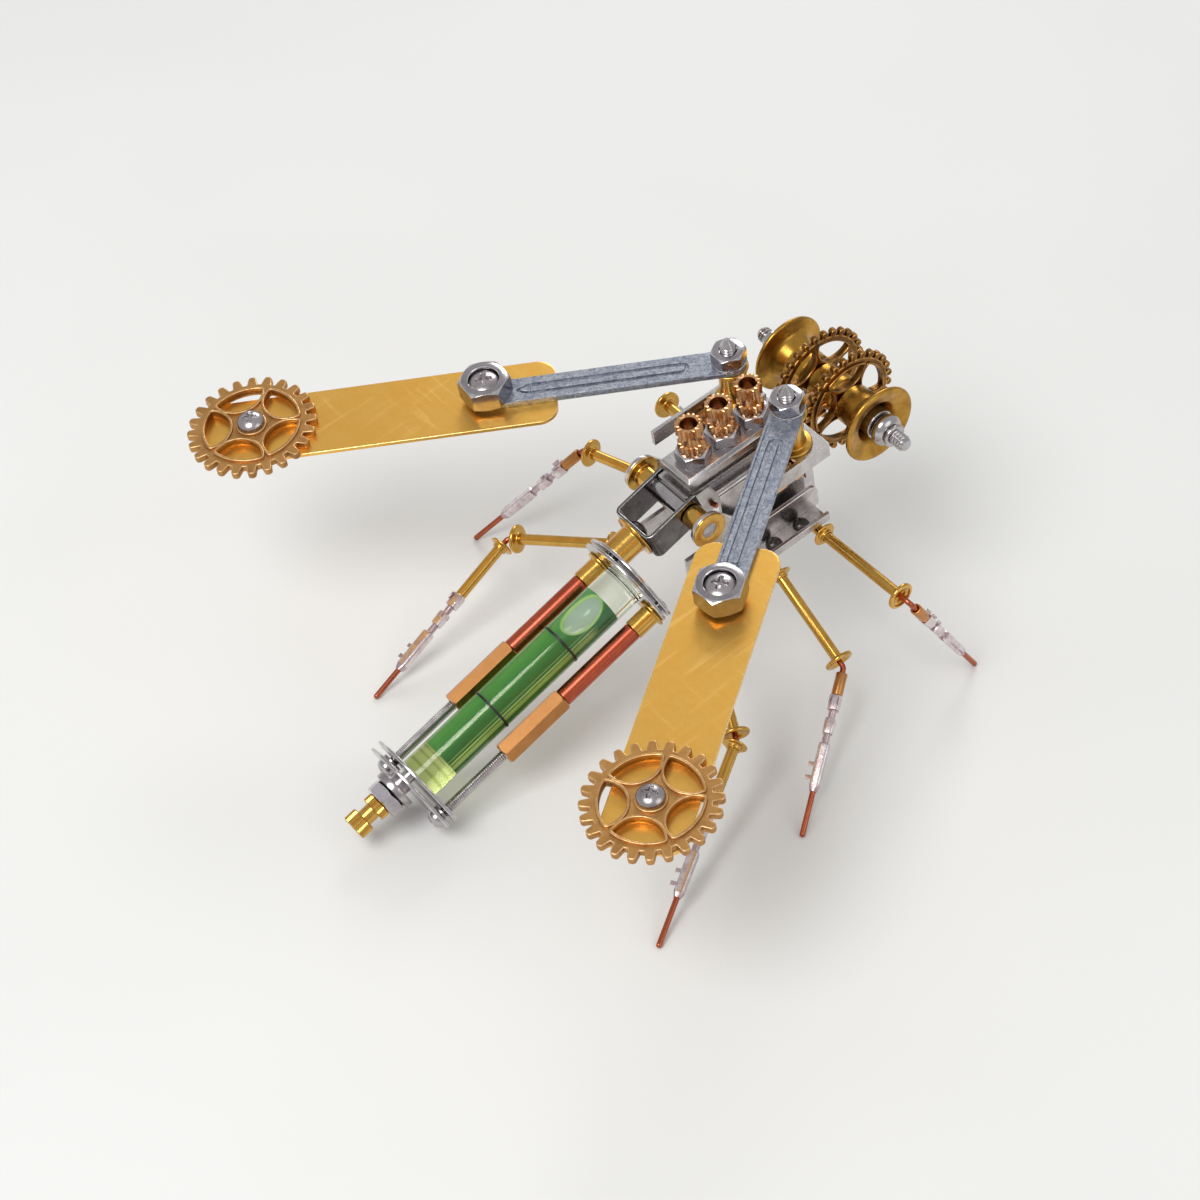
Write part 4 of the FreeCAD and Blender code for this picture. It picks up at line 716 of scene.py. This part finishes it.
stack = {"bolts": (15.2, 8.7, 2.2), "foot": 3.4, "boltLong": 12.0, "bolt": 1.2, "top": 11.0, "nut": 2.4,
         "flats": 5.5, "studSide": 7.7, "stud": 1.34, "studFoot": 7.6, "studLong": 15.1, "shelf": 8.4,
         "studNut": 17.9, "fit": 0.03, "flank": (9.0, 0.5, 5.0)}
insert = {"radius": 2.45, "neck": 1.9, "bore": 1.5, "bands": [(0.0, 2.016), (3.78, 6.3)], "length": 6.3,
          "teeth": 14, "depth": 0.5}
riser = {"bore": 1.48, "foot": 3.5, "footHigh": 0.6, "neck": 2.3, "head": 3.2, "neckEnd": 7.4, "long": 8.0}


def nutShape(bore):
    return hexNut(stack["flats"], bore + stack["fit"], stack["nut"])


bolts = [(threaded(stack["bolt"], stack["boltLong"]), at(thoraxPlace, 0, y, stack["foot"]))
         for y in stack["bolts"]]
nuts = [(nutShape(stack["bolt"]), at(thoraxPlace, 0, y, stack["top"])) for y in stack["bolts"]]
inserts = [(knurled(**insert), at(thoraxPlace, 0, y, stack["top"] + stack["nut"])) for y in stack["bolts"]]
risers = []
bore, foot, neck, cap = riser["bore"], riser["foot"], riser["neck"], riser["head"]
high, last, long = riser["footHigh"], riser["neckEnd"], riser["long"]
points = [(0, bore), (0, foot), (high, foot), (high, neck), (last, neck), (last, cap), (long, cap),
          (long, bore)]
points = curved(points, [0.3, 0.28, 0.28, 0.35, 0.35, 0.28, 0.28, 0.2], 4)
for side in (1, -1):
    x = side * stack["studSide"]
    bolts.append((threaded(stack["stud"], stack["studLong"], tip=1.4),
                  at(thoraxPlace, x, 0, stack["studFoot"])))
    nuts.append((nutShape(stack["stud"]), at(thoraxPlace, x, 0, stack["studNut"])))
    across, along, above = stack["flank"]
    inserts.append((knurled(**insert), at(thoraxPlace, side * across, along, above, "y")))
    risers.append((skin(points), at(thoraxPlace, x, 0, stack["shelf"])))
gather("threaded_studs", "brightSteel", bolts)
gather("m3_nuts", "nutSteel", nuts)
gather("knurled_inserts", "knurlCopper", inserts)
gather("riser_bushes", "polishedBrass", risers)

axle = {"y": 20.6, "z": 4.4, "half": 8.6, "outside": 1.3, "bush": 2.1, "flange": 3.4, "rim": 0.5,
        "bore": 1.23, "long": 3.64}
bushes = []
for side, face in ((1, axle["half"]), (-1, axle["half"] + axle["outside"])):
    long = face - axle["half"] + axle["long"]
    points = [(0, axle["bore"]), (0, axle["flange"]), (axle["rim"], axle["flange"]),
              (axle["rim"], axle["bush"]), (long, axle["bush"]), (long, axle["bore"])]
    bushes.append((skin(curved(points, [0.5, 0.24, 0.24, 0.3, 0.1, 0.1])),
                   at(thoraxPlace, side * face, axle["y"], axle["z"], "-x" if side > 0 else "x")))
gather("axle_bushes", "polishedBrass", bushes)
sheets = {"front": -3.0, "floor": -8.0, "top": -3.0, "rise": 10.2, "heel": 13.2, "lobe": 3.3,
          "thick": 0.8, "half": 8.6, "edge": 0.16}
lobe = arc(sheets["lobe"], math.radians(135), math.radians(-45), 24, axle["y"], axle["z"])
sheet = [(sheets["front"], sheets["floor"]), (sheets["front"], sheets["top"]),
         (sheets["rise"], sheets["top"]), *lobe, (sheets["heel"], sheets["floor"])]
sheet = curved(sheet, [0.6, 1.6, 2.0] + [0] * len(lobe) + [2.5], 6)
hole = disc(axle["bore"], 32, axle["y"], axle["z"])
flat = Matrix(((0, 0, 1, 0), (1, 0, 0, 0), (0, 1, 0, 0), (0, 0, 0, 1)))
sidePlates = []
for start in (sheets["half"], -sheets["half"] - sheets["thick"]):
    sidePlates.append((plate([sheet, hole], sheets["thick"], sheets["edge"]),
                       thoraxPlace @ Matrix.Translation((start, 0, 0)) @ flat))
gather("side_plates", "sheetSteel", sidePlates)
dome = {"x": 11.0, "spots": (2.6, 8.8), "z": -8.0, "head": 1.5, "side": 0.15, "crown": 0.95, "shank": 0.8,
        "long": 1.6}
domes = []
for side in (1, -1):
    for y in dome["spots"]:
        domes.append((screwHead(dome["head"], dome["side"], dome["crown"], 0.6, 64, 20),
                      at(thoraxPlace, side * dome["x"], y, dome["z"])))
        domes.append((solidRod(dome["shank"], dome["long"]),
                      at(thoraxPlace, side * dome["x"], y, dome["z"] - dome["long"])))
gather("bracket_screws", "darkSteel", domes)
print("thorax placed")

head = {"y": -15.5, "z": 4.7, "bolt": 1.45, "bore": 1.48, "half": 19.2, "barrel": 3.1, "drum": 3.6,
        "drumEnd": 3.2, "drumStep": 0.5, "start": 4.72, "outer": 12.4, "eye": 3.7, "flange": 7.4, "wall": 0.6,
        "flare": 2.4, "nut": 3.0, "nutLong": 3.0, "gap": 0.15, "play": 0.06,
        "neckY": -12.0, "neckZ": 3.8}
neckInsert = {"radius": 2.35, "neck": 1.9, "bore": 1.25, "bands": [(0.0, 3.4), (4.2, 7.4)],
              "length": 7.4, "teeth": 14, "depth": 0.45}


def onHead(x, way):
    return at(thoraxPlace, x, head["y"], head["z"], way)


gather("head_bolt", "brightSteel",
       [(threaded(head["bolt"], head["half"], tip=0.7), onHead(0, way)) for way in ("x", "-x")])
bore, narrow, step, long = head["bore"], head["drumEnd"], head["drumStep"], 2 * head["barrel"]
drum = [(0, bore), (0, narrow), (step, head["drum"]), (long - step, head["drum"]), (long, narrow),
        (long, bore)]
gather("center_barrel", "drumBrass",
       [(skin(curved(drum, [0, 0.3, 0.4, 0.4, 0.3, 0])), onHead(-head["barrel"], "x"))])
eyes, ends = [], []
for side, way, tag in ((1, "x", "left"), (-1, "-x", "right")):
    long, flare, wall = head["outer"] - head["start"], head["flare"], head["wall"]
    eye, flange = head["eye"], head["flange"]
    points = [(0, bore), (0, eye), (long - flare * 1.5, eye), (long - flare * 0.5, eye + 1.1),
              (long - wall * 1.3, flange), (long, flange), (long, flange - 1.0),
              (long - flare * 0.35, eye + 0.35), (long - flare * 1.1, eye - wall), (wall + 1.0, eye - wall),
              (wall + 1.0, bore)]
    points = curved(points, [0, 0.4, 1.2, 1.6, 0.38, 0.38, 0.35, 1.2, 1.0, 0.2, 0], 6)
    eyes.append((skin(points, 96), onHead(side * head["start"], way)))
    sleeve = head["start"] + wall + 1.0
    nut, high = head["nut"], head["nutLong"]
    ends.append((tube(eye - wall - 0.3, bore, head["outer"] - sleeve, 0.2), onHead(side * sleeve, way)))
    if side > 0:
        cap = knurled(nut, nut * 0.7, bore, [(0.0, high * 0.42), (high * 0.5, high)], high, 22, 0.3)
        tip = curved([(0, 1.3), (0, 2.1), (0.9, 2.1), (1.6, 1.6), (1.6, 1.3)], [0, 0.25, 0.3, 0.2, 0], 4)
    else:
        turns = (math.pi * k / 16 for k in range(1, 16))
        ball = [(high * (0.5 - 0.52 * math.cos(a)), nut * (0.35 + 0.65 * math.sin(a))) for a in turns]
        cap = skin([(0, bore), *ball, (high * 1.04, bore)], 72)
        tip = curved([(0, 1.3), (0, 2.2), (0.8, 2.2), (0.8, 1.3)], [0, 0.35, 0.35, 0], 4)
    ends.append((cap, onHead(side * head["outer"], way)))
    ends.append((skin(tip), onHead(side * (head["outer"] + high + head["gap"]), way)))
    spot = onHead(side * (head["barrel"] + head["play"]), way)
    gather("head_gear_" + tag, "bronze", [(shape, spot) for shape in gearShape(headGear)])
gather("eye_bushes", "drumBrass", eyes)
gather("head_end_nuts", "brightSteel", ends)
gather("neck_insert", "knurlCopper",
       [(knurled(**neckInsert), at(thoraxPlace, 0, head["neckY"], head["neckZ"], "y"))])
print("head placed")

waist = {"inner": 4.13, "deep": 6.4, "wall": 0.6, "edge": 0.14, "back": -2.4, "reach": 8.1, "sheet": 0.8,
         "screw": 1.0, "screwLong": 8.0, "head": 1.9, "eyelet": 2.6, "bore": 1.06, "flange": 4.1, "rim": 0.5,
         "long": 5.0}
inner, far, back = waist["inner"], waist["reach"] + waist["sheet"], waist["back"]
wall = waist["wall"]
outer = inner + wall
strap = [(-outer, back), (-inner, back), (-inner, far - wall), (inner, far - wall), (inner, back),
         (outer, back), (outer, far), (-outer, far)]
strap = curved(strap, [0.1, 0.1, 0.7, 0.7, 0.1, 0.1, 1.3, 1.3], 6)
gather("yoke", "yokeSteel", [(plate([strap], waist["deep"], waist["edge"], -waist["deep"] / 2), yokePlace)])
gather("waist_eyelet", "polishedBrass", [
    (eyeletShape(waist["bore"], waist["eyelet"], waist["flange"], waist["rim"], waist["long"]),
     at(yokePlace, 0, far, 0, "y"))])
gather("waist_screw", "darkSteel", [
    (screwHead(waist["head"], 0.35, 1.0, 0.58, 72, 24), at(yokePlace, 0, far - wall, 0.6, "-y")),
    (solidRod(waist["screw"], waist["screwLong"]), at(yokePlace, 0, waist["reach"] - 0.4, 0, "y"))])

rod = {"x": 6.6, "z": -2.2, "start": 1.8, "thread": 0.95, "bore": 0.98, "bush": 1.85, "flange": 2.7,
       "rim": 0.5, "bushLong": 4.6, "tube": 1.65, "tubeLong": 16.8, "hex": 3.8, "hexLong": 13.8, "plate": 0.9,
       "gap": 0.5, "long": 48.5, "head": 1.8, "pitch": 0.4, "depth": 0.14}
smallHead = {"cross": 0.58, "segments": 64, "rings": 22}
bushes, tubes, hexes, shafts = [], [], [], []
for side in (1, -1):
    def onRod(y, way="y"):
        return at(abdomenPlace, side * rod["x"], y, rod["z"], way)

    spot, bore, thread = rod["start"], rod["bore"], rod["thread"]
    bush = eyeletShape(bore, rod["bush"], rod["flange"], rod["rim"], rod["bushLong"])
    bushes.append((bush, onRod(spot)))
    spot += rod["bushLong"]
    tubes.append((tube(rod["tube"], bore, rod["tubeLong"], 0.3), onRod(spot)))
    spot += rod["tubeLong"]
    hexes.append((hexNut(rod["hex"], bore, rod["hexLong"], 0.8), onRod(spot)))
    spot += rod["hexLong"] - 1
    last = rod["start"] + rod["long"] + 2 * rod["plate"] + rod["gap"]
    shafts.append((threaded(thread, last - spot, rod["pitch"], rod["depth"], 0.1, 24), onRod(spot)))
    shafts.append((solidRod(thread, spot - rod["pitch"]), onRod(0)))
    shafts.append((screwHead(rod["head"], 0.1, 0.7, **smallHead), onRod(0, "-y")))
    shafts.append((screwHead(rod["head"], 0.35, 0.95, **smallHead), onRod(last)))
gather("rod_bushes", "polishedBrass", bushes)
gather("rod_tubes", "redCopper", tubes)
gather("rod_hexes", "hexBrass", hexes)
gather("rod_threads", "brightSteel", shafts)
tail = {"x": 0.6, "z": 2.6, "nutAt": 55.4, "nut": 6.0, "stud": 1.23, "nutLong": 2.4}
tailInsert = {"radius": 2.35, "neck": 1.5, "bore": 1.05, "bands": [(0.0, 1.7), (3.7, 6.2)], "length": 6.2,
              "teeth": 16, "depth": 0.3}
gather("tail_nut", "nutSteel", [(hexNut(tail["nut"], tail["stud"], tail["nutLong"]),
                                 at(abdomenPlace, tail["x"], tail["nutAt"], tail["z"], "y"))])
gather("tail_insert", "polishedBrass", [
    (knurled(**tailInsert), at(abdomenPlace, tail["x"], tail["nutAt"] + tail["nutLong"], tail["z"], "y"))])

ears = {"half": 9.9, "small": 2.5, "big": 8.2, "thin": 0.62, "edge": 0.15}
reach = ears["half"] - ears["small"]
lean = math.acos((ears["big"] - ears["small"]) / reach)
rims = [(0, ears["big"], lean, math.pi - lean), (-reach, ears["small"], math.pi - lean, math.pi + lean),
        (0, ears["big"], math.pi + lean, math.tau - lean), (reach, ears["small"], -lean, lean)]
earLine = []
for x, radius, first, last in rims:
    earLine += arc(radius, first, last, 28 if radius > ears["small"] else 18, x)
standing = Matrix(((1, 0, 0, 0), (0, 0, -1, 0), (0, 1, 0, 0), (0, 0, 0, 1)))


def endPlates(node, rears, hub, bore):
    shapes = []
    holes = [disc(rod["bore"], 32, side * rod["x"], rod["z"]) for side in (1, -1)] + [disc(bore, 32, *hub)]
    for rear in rears:
        shapes.append((plate([earLine] + holes, ears["thin"], ears["edge"]),
                       abdomenPlace @ Matrix.Translation((0, rear, 0)) @ standing))
    gather(node, "brightSteel", shapes)


abdomenBack = abdomenPlace.inverted() @ yokePlace @ Vector((0, places["waistEnd"], 0))
endPlates("front_plates", (ears["thin"], 2 * rod["plate"]), (abdomenBack.x, abdomenBack.z), waist["bore"])
rearStart = rod["start"] + rod["long"]
rears = (rearStart + ears["thin"], rearStart + 2 * rod["plate"] + rod["gap"])
endPlates("rear_plates", rears, (tail["x"], tail["z"]), tail["stud"])

vial = {"start": 1.8, "long": 48.5, "radius": 3.9, "front": 5.0, "rear": 5.2, "core": 2.75, "play": 0.04,
        "bubbleAt": 9.4, "bubbleLong": 4.2, "bubbleWide": 2.5, "bubbleDeep": 1.8, "ring": 0.45,
        "proud": 0.1, "rings": (14.9, 31.1)}
glass = [(0, 0.001), (0, vial["radius"]), (vial["long"], vial["radius"]), (vial["long"], 0.001)]
body = at(abdomenPlace, 0, vial["start"], 0, "y")
gather("vial_body", "clear", [(skin(curved(glass, [0, 0.25, 0.25, 0], 4), 96), body)])
coreShape = bmesh.new()
airy = coreShape.loops.layers.float.new("wear")
coreLoops, coreAir = [], {}
coreStart, coreEnd = vial["front"] + vial["play"], vial["long"] - vial["rear"] - vial["play"]
steps, around = 260, 144
for i in range(steps + 1):
    along = coreStart + (coreEnd - coreStart) * i / steps
    loop = []
    for k in range(around):
        angle = math.tau * k / around
        # the top of the vial lies towards the abdomen's Z, which is this shape's minus Y
        offTop = (angle + math.pi / 2 + math.pi) % math.tau - math.pi
        spread = ((along - vial["bubbleAt"]) / vial["bubbleLong"]) ** 2
        spread += (offTop * vial["core"] / vial["bubbleWide"]) ** 2
        radius = vial["core"] - vial["bubbleDeep"] * math.sqrt(max(0.0, 1 - spread))
        vert = coreShape.verts.new((radius * math.cos(angle), radius * math.sin(angle), along))
        coreAir[vert] = min(1.0, max(0.0, (1.1 - spread) / 0.25))
        loop.append(vert)
    coreLoops.append(loop)
for low, high in zip(coreLoops, coreLoops[1:]):
    for k in range(around):
        j = (k + 1) % around
        face = coreShape.faces.new((low[k], low[j], high[j], high[k]))
        for corner in face.loops:
            corner[airy] = coreAir[corner.vert]
coreShape.faces.new(coreLoops[0][::-1])
coreShape.faces.new(coreLoops[-1])
gather("vial_liquid", "liquid", [(coreShape, body)], 60)
inside, outside, wide = vial["radius"], vial["radius"] + vial["proud"], vial["ring"]
band = curved([(0, inside), (0, outside), (wide, outside), (wide, inside)], [0, 0.05, 0.05, 0], 3)
gather("vial_rings", "ring", [(skin(band, 96), at(abdomenPlace, 0, vial["start"] + spot, 0, "y"))
                              for spot in vial["rings"]])
print("abdomen placed")

# each leg's side, its hip along the thorax, and its knee and foot in the thorax's own level frame
legPoints = {
    "fl": (1, 0.0, (34.0, -3.3, 25.0), (36.5, -20.0, 0.5)),
    "ml": (1, 9.0, (33.0, 15.0, 23.4), (46.5, 30.2, 0.5)),
    "rl": (1, 22.4, (30.7, 34.2, 14.5), (24.9, 68.2, 0.5)),
    "fr": (-1, 0.0, (-34.5, -3.3, 25.3), (-35.1, -19.9, 0.5)),
    "mr": (-1, 9.0, (-31.1, 8.3, 14.5), (-46.6, 30.3, 0.5)),
    "rr": (-1, 22.4, (-31.3, 32.4, 12.5), (-50.2, 64.4, 0.5)),
}
legs = {"hipX": 4.6, "hipZ": -10.4, "flange": 2.25, "gap": 0.1, "collar": 5.8, "tube": 1.0, "wire": 0.5,
        "fit": 0.03, "eyelet": 1.1, "eyeletBarrel": 1.33, "rim": 0.42, "barrel": 4.2, "shin": 11.0,
        "wall": 7.3}
crimp = {"play": 0.02, "long": 17.4, "neck": 0.62, "tab": 0.26, "tabIn": 0.3}
# each tab's place along the crimp, its reach, its width and the way it stands
crimpTabs = ((0.3, 1.7, 1.5, 60), (0.3, 1.7, 1.5, 120), (4.4, 1.35, 1.0, 90), (12.2, 1.95, 0.75, 185),
             (14.6, 2.0, 0.8, 185))
shift = Vector((0, thoraxPlace.translation.y / mm, 0))


def aim(point, way):
    turn = way.to_track_quat("Z", "Y").to_matrix().to_4x4()
    return Matrix.Translation(point * mm) @ turn @ Matrix.Scale(mm, 4)


def kneeRing(bore, long):
    # an eyelet whose mouth is rolled back into a thick ring
    points = [(0.12, 1.72), (0.0, 1.95), (0.0, 2.62), (0.78, 2.62), (0.78, 1.95), (0.86, 1.38),
              (long, 1.33), (long, bore), (0.75, bore), (0.45, 1.3)]
    return skin(curved(points, [0.15, 0.3, 0.38, 0.38, 0.3, 0.25, 0.1, 0.08, 0.2, 0.3], 6))


def square(half, power=5.0):
    # a square section with full corners rounded off
    def side(angle):
        return half / (abs(math.cos(angle)) ** power + abs(math.sin(angle)) ** power) ** (1 / power)
    return side


def crimpParts(base):
    # two rolled bands on a thin neck, a square socket, and the small ears the press leaves
    bore, long, neck, inset = legs["wire"] + crimp["play"], crimp["long"], crimp["neck"], crimp["tabIn"]
    rows = [(0, bore), (0, square(0.98)), (0.3, square(1.06)), (2.6, square(0.98)), (2.7, 0.66),
            (4.1, neck), (4.2, square(0.86)), (4.7, square(0.95)), (6.9, square(0.86)), (7.0, neck),
            (8.6, 0.64), (8.8, square(0.9)), (9.2, square(0.96)), (16.3, square(0.9)),
            (16.9, square(0.74)), (long, 0.66), (long, bore)]
    parts = [(skin(rows, 48, True, (1, 2, 6, 7, 11, 12)), base)]
    for place, reach, wide, turn in crimpTabs:
        fin = [(inset, 0), (reach, 0), (reach, wide), (inset, wide)]
        spin = Matrix.Rotation(math.radians(turn), 4, "Z")
        upright = Matrix.Translation((0, 0, place)) @ Matrix.Rotation(math.radians(90), 4, "X")
        parts.append((plate([fin], crimp["tab"], 0.05, -crimp["tab"] / 2), base @ spin @ upright))
    return parts


rings, sleeves, crimps = [], [], []
tubeBore, wireBore = legs["tube"] + legs["fit"], legs["wire"] + legs["fit"]
flange, rim, long = legs["flange"], legs["rim"], legs["eyelet"]
for name, (side, hip, knee, foot) in legPoints.items():
    start = (thoraxPlace @ Vector((side * legs["hipX"], hip, legs["hipZ"]))) / mm
    knee, foot = Vector(knee) + shift, Vector(foot) + shift
    thigh, shin = (knee - start).normalized(), (foot - knee).normalized()
    here = flange / math.tan(thigh.angle(-shin) / 2) + legs["gap"]
    across = abs((thoraxPlace.to_3x3().inverted() @ thigh).normalized().x)
    wall = (legs["wall"] - legs["hipX"]) / across
    rings.append((eyeletShape(tubeBore, legs["eyeletBarrel"], flange, rim, long),
                  aim(start + thigh * (wall + legs["collar"]), thigh)))
    rings.append((kneeRing(wireBore, long), aim(knee - thigh * here, -thigh)))
    if name in ("rl", "rr"):
        rings.append((eyeletShape(wireBore, legs["eyeletBarrel"], flange, rim, long),
                      aim(knee + shin * here, shin)))
        here += long + legs["shin"]
    else:
        sleeves.append((tube(legs["tube"], wireBore, legs["barrel"], 0.2), aim(knee + shin * here, shin)))
        here += legs["barrel"]
    crimps += crimpParts(aim(knee + shin * here, shin))
gather("leg_eyelets", "polishedBrass", rings)
gather("leg_barrels", "hexBrass", sleeves)
gather("leg_crimps", "tinned", crimps)
print("legs placed")

# each solid that keeps its own form: its finish, and how far its edges are broken
finishes = {
    "top_clamp_plate": ("sheetSteel", 0.1), "lower_clamp_plate": ("sheetSteel", 0.12),
    "inner_channel": ("sheetSteel", 0.12), "side_brackets": ("sheetSteel", 0.14),
    "wing_shelves": ("sheetSteel", 0.12), "cross_axle": ("screwSteel", 0),
    "axle_spacer": ("brightSteel", 0.15), "stud_washers": ("brightSteel", 0.12),
    "abdomen_washers": ("screwSteel", 0.1), "tail_stud": ("brightSteel", 0),
    "leg_tubes": ("polishedBrass", 0.06),
}
for leg in sorted(legPoints):
    finishes["leg_wire_" + leg] = ("copper", 0)
for node, (finish, width) in finishes.items():
    if width > 0:
        softened(node, finish, width)
    else:
        nodes[node].data.materials.clear()
        nodes[node].data.materials.append(library[finish])

studio = {"world": 0.54, "key": 4.6, "fill": 1.2, "rim": 1.8}
floorShape = bmesh.new()
bmesh.ops.create_grid(floorShape, x_segments=1, y_segments=1, size=3.0)
floorData = bpy.data.meshes.new("floor")
floorShape.to_mesh(floorData)
floorShape.free()
floor = added("floor", floorData)
floorMaterial, floorPlace = startMaterial("floorPaper")
tone = floorPlace.noise(6, 3, 0.5).band(0.3, 0.7).blend(colour("e6e6e4"), colour("e0e0de"))
floorData.materials.append(join(floorMaterial, Base_Color=tone, Roughness=0.9))

middle = (cadBox[0] + cadBox[1]) / 2


def lamp(name, way, distance, size, power):
    data = bpy.data.lights.new(name, "AREA")
    data.shape = "DISK"
    data.size = size
    data.energy = power
    light = added(name, data)
    way = Vector(way).normalized()
    light.location = middle + way * distance
    light.rotation_mode = "QUATERNION"
    light.rotation_quaternion = way.to_track_quat("Z", "Y")


lamp("key", (-0.2, 0.9, 1.3), 0.9, 0.5, studio["key"])
lamp("fill", (-1.0, -0.3, 0.7), 1.0, 0.7, studio["fill"])
lamp("rim", (0.9, -0.9, 0.9), 0.9, 0.4, studio["rim"])
world = bpy.data.worlds.new("studio")
bpy.context.scene.world = world
world.use_nodes = True
sky = world.node_tree.nodes["Background"]
sky.inputs["Color"].default_value = (1, 1, 1, 1)
sky.inputs["Strength"].default_value = studio["world"]

view = {"azimuth": 232.48, "elevation": 44.9, "roll": 0.77, "lens": 96.5, "distance": 565.8,
        "target": (7.66, -2.68, 15.0)}
camera = added("camera", bpy.data.cameras.new("camera"))
camera.data.sensor_width = 36
camera.data.lens = view["lens"]
camera.data.clip_start = 0.01
around, above = math.radians(view["azimuth"]), math.radians(view["elevation"])
away = Vector((math.sin(around) * math.cos(above), -math.cos(around) * math.cos(above), math.sin(above)))
camera.location = Vector(view["target"]) * mm + away * view["distance"] * mm
camera.rotation_mode = "QUATERNION"
camera.rotation_quaternion = away.to_track_quat("Z", "Y") @ Quaternion((0, 0, 1), -math.radians(view["roll"]))
bpy.context.scene.camera = camera
bpy.context.scene.view_settings.view_transform = "Standard"
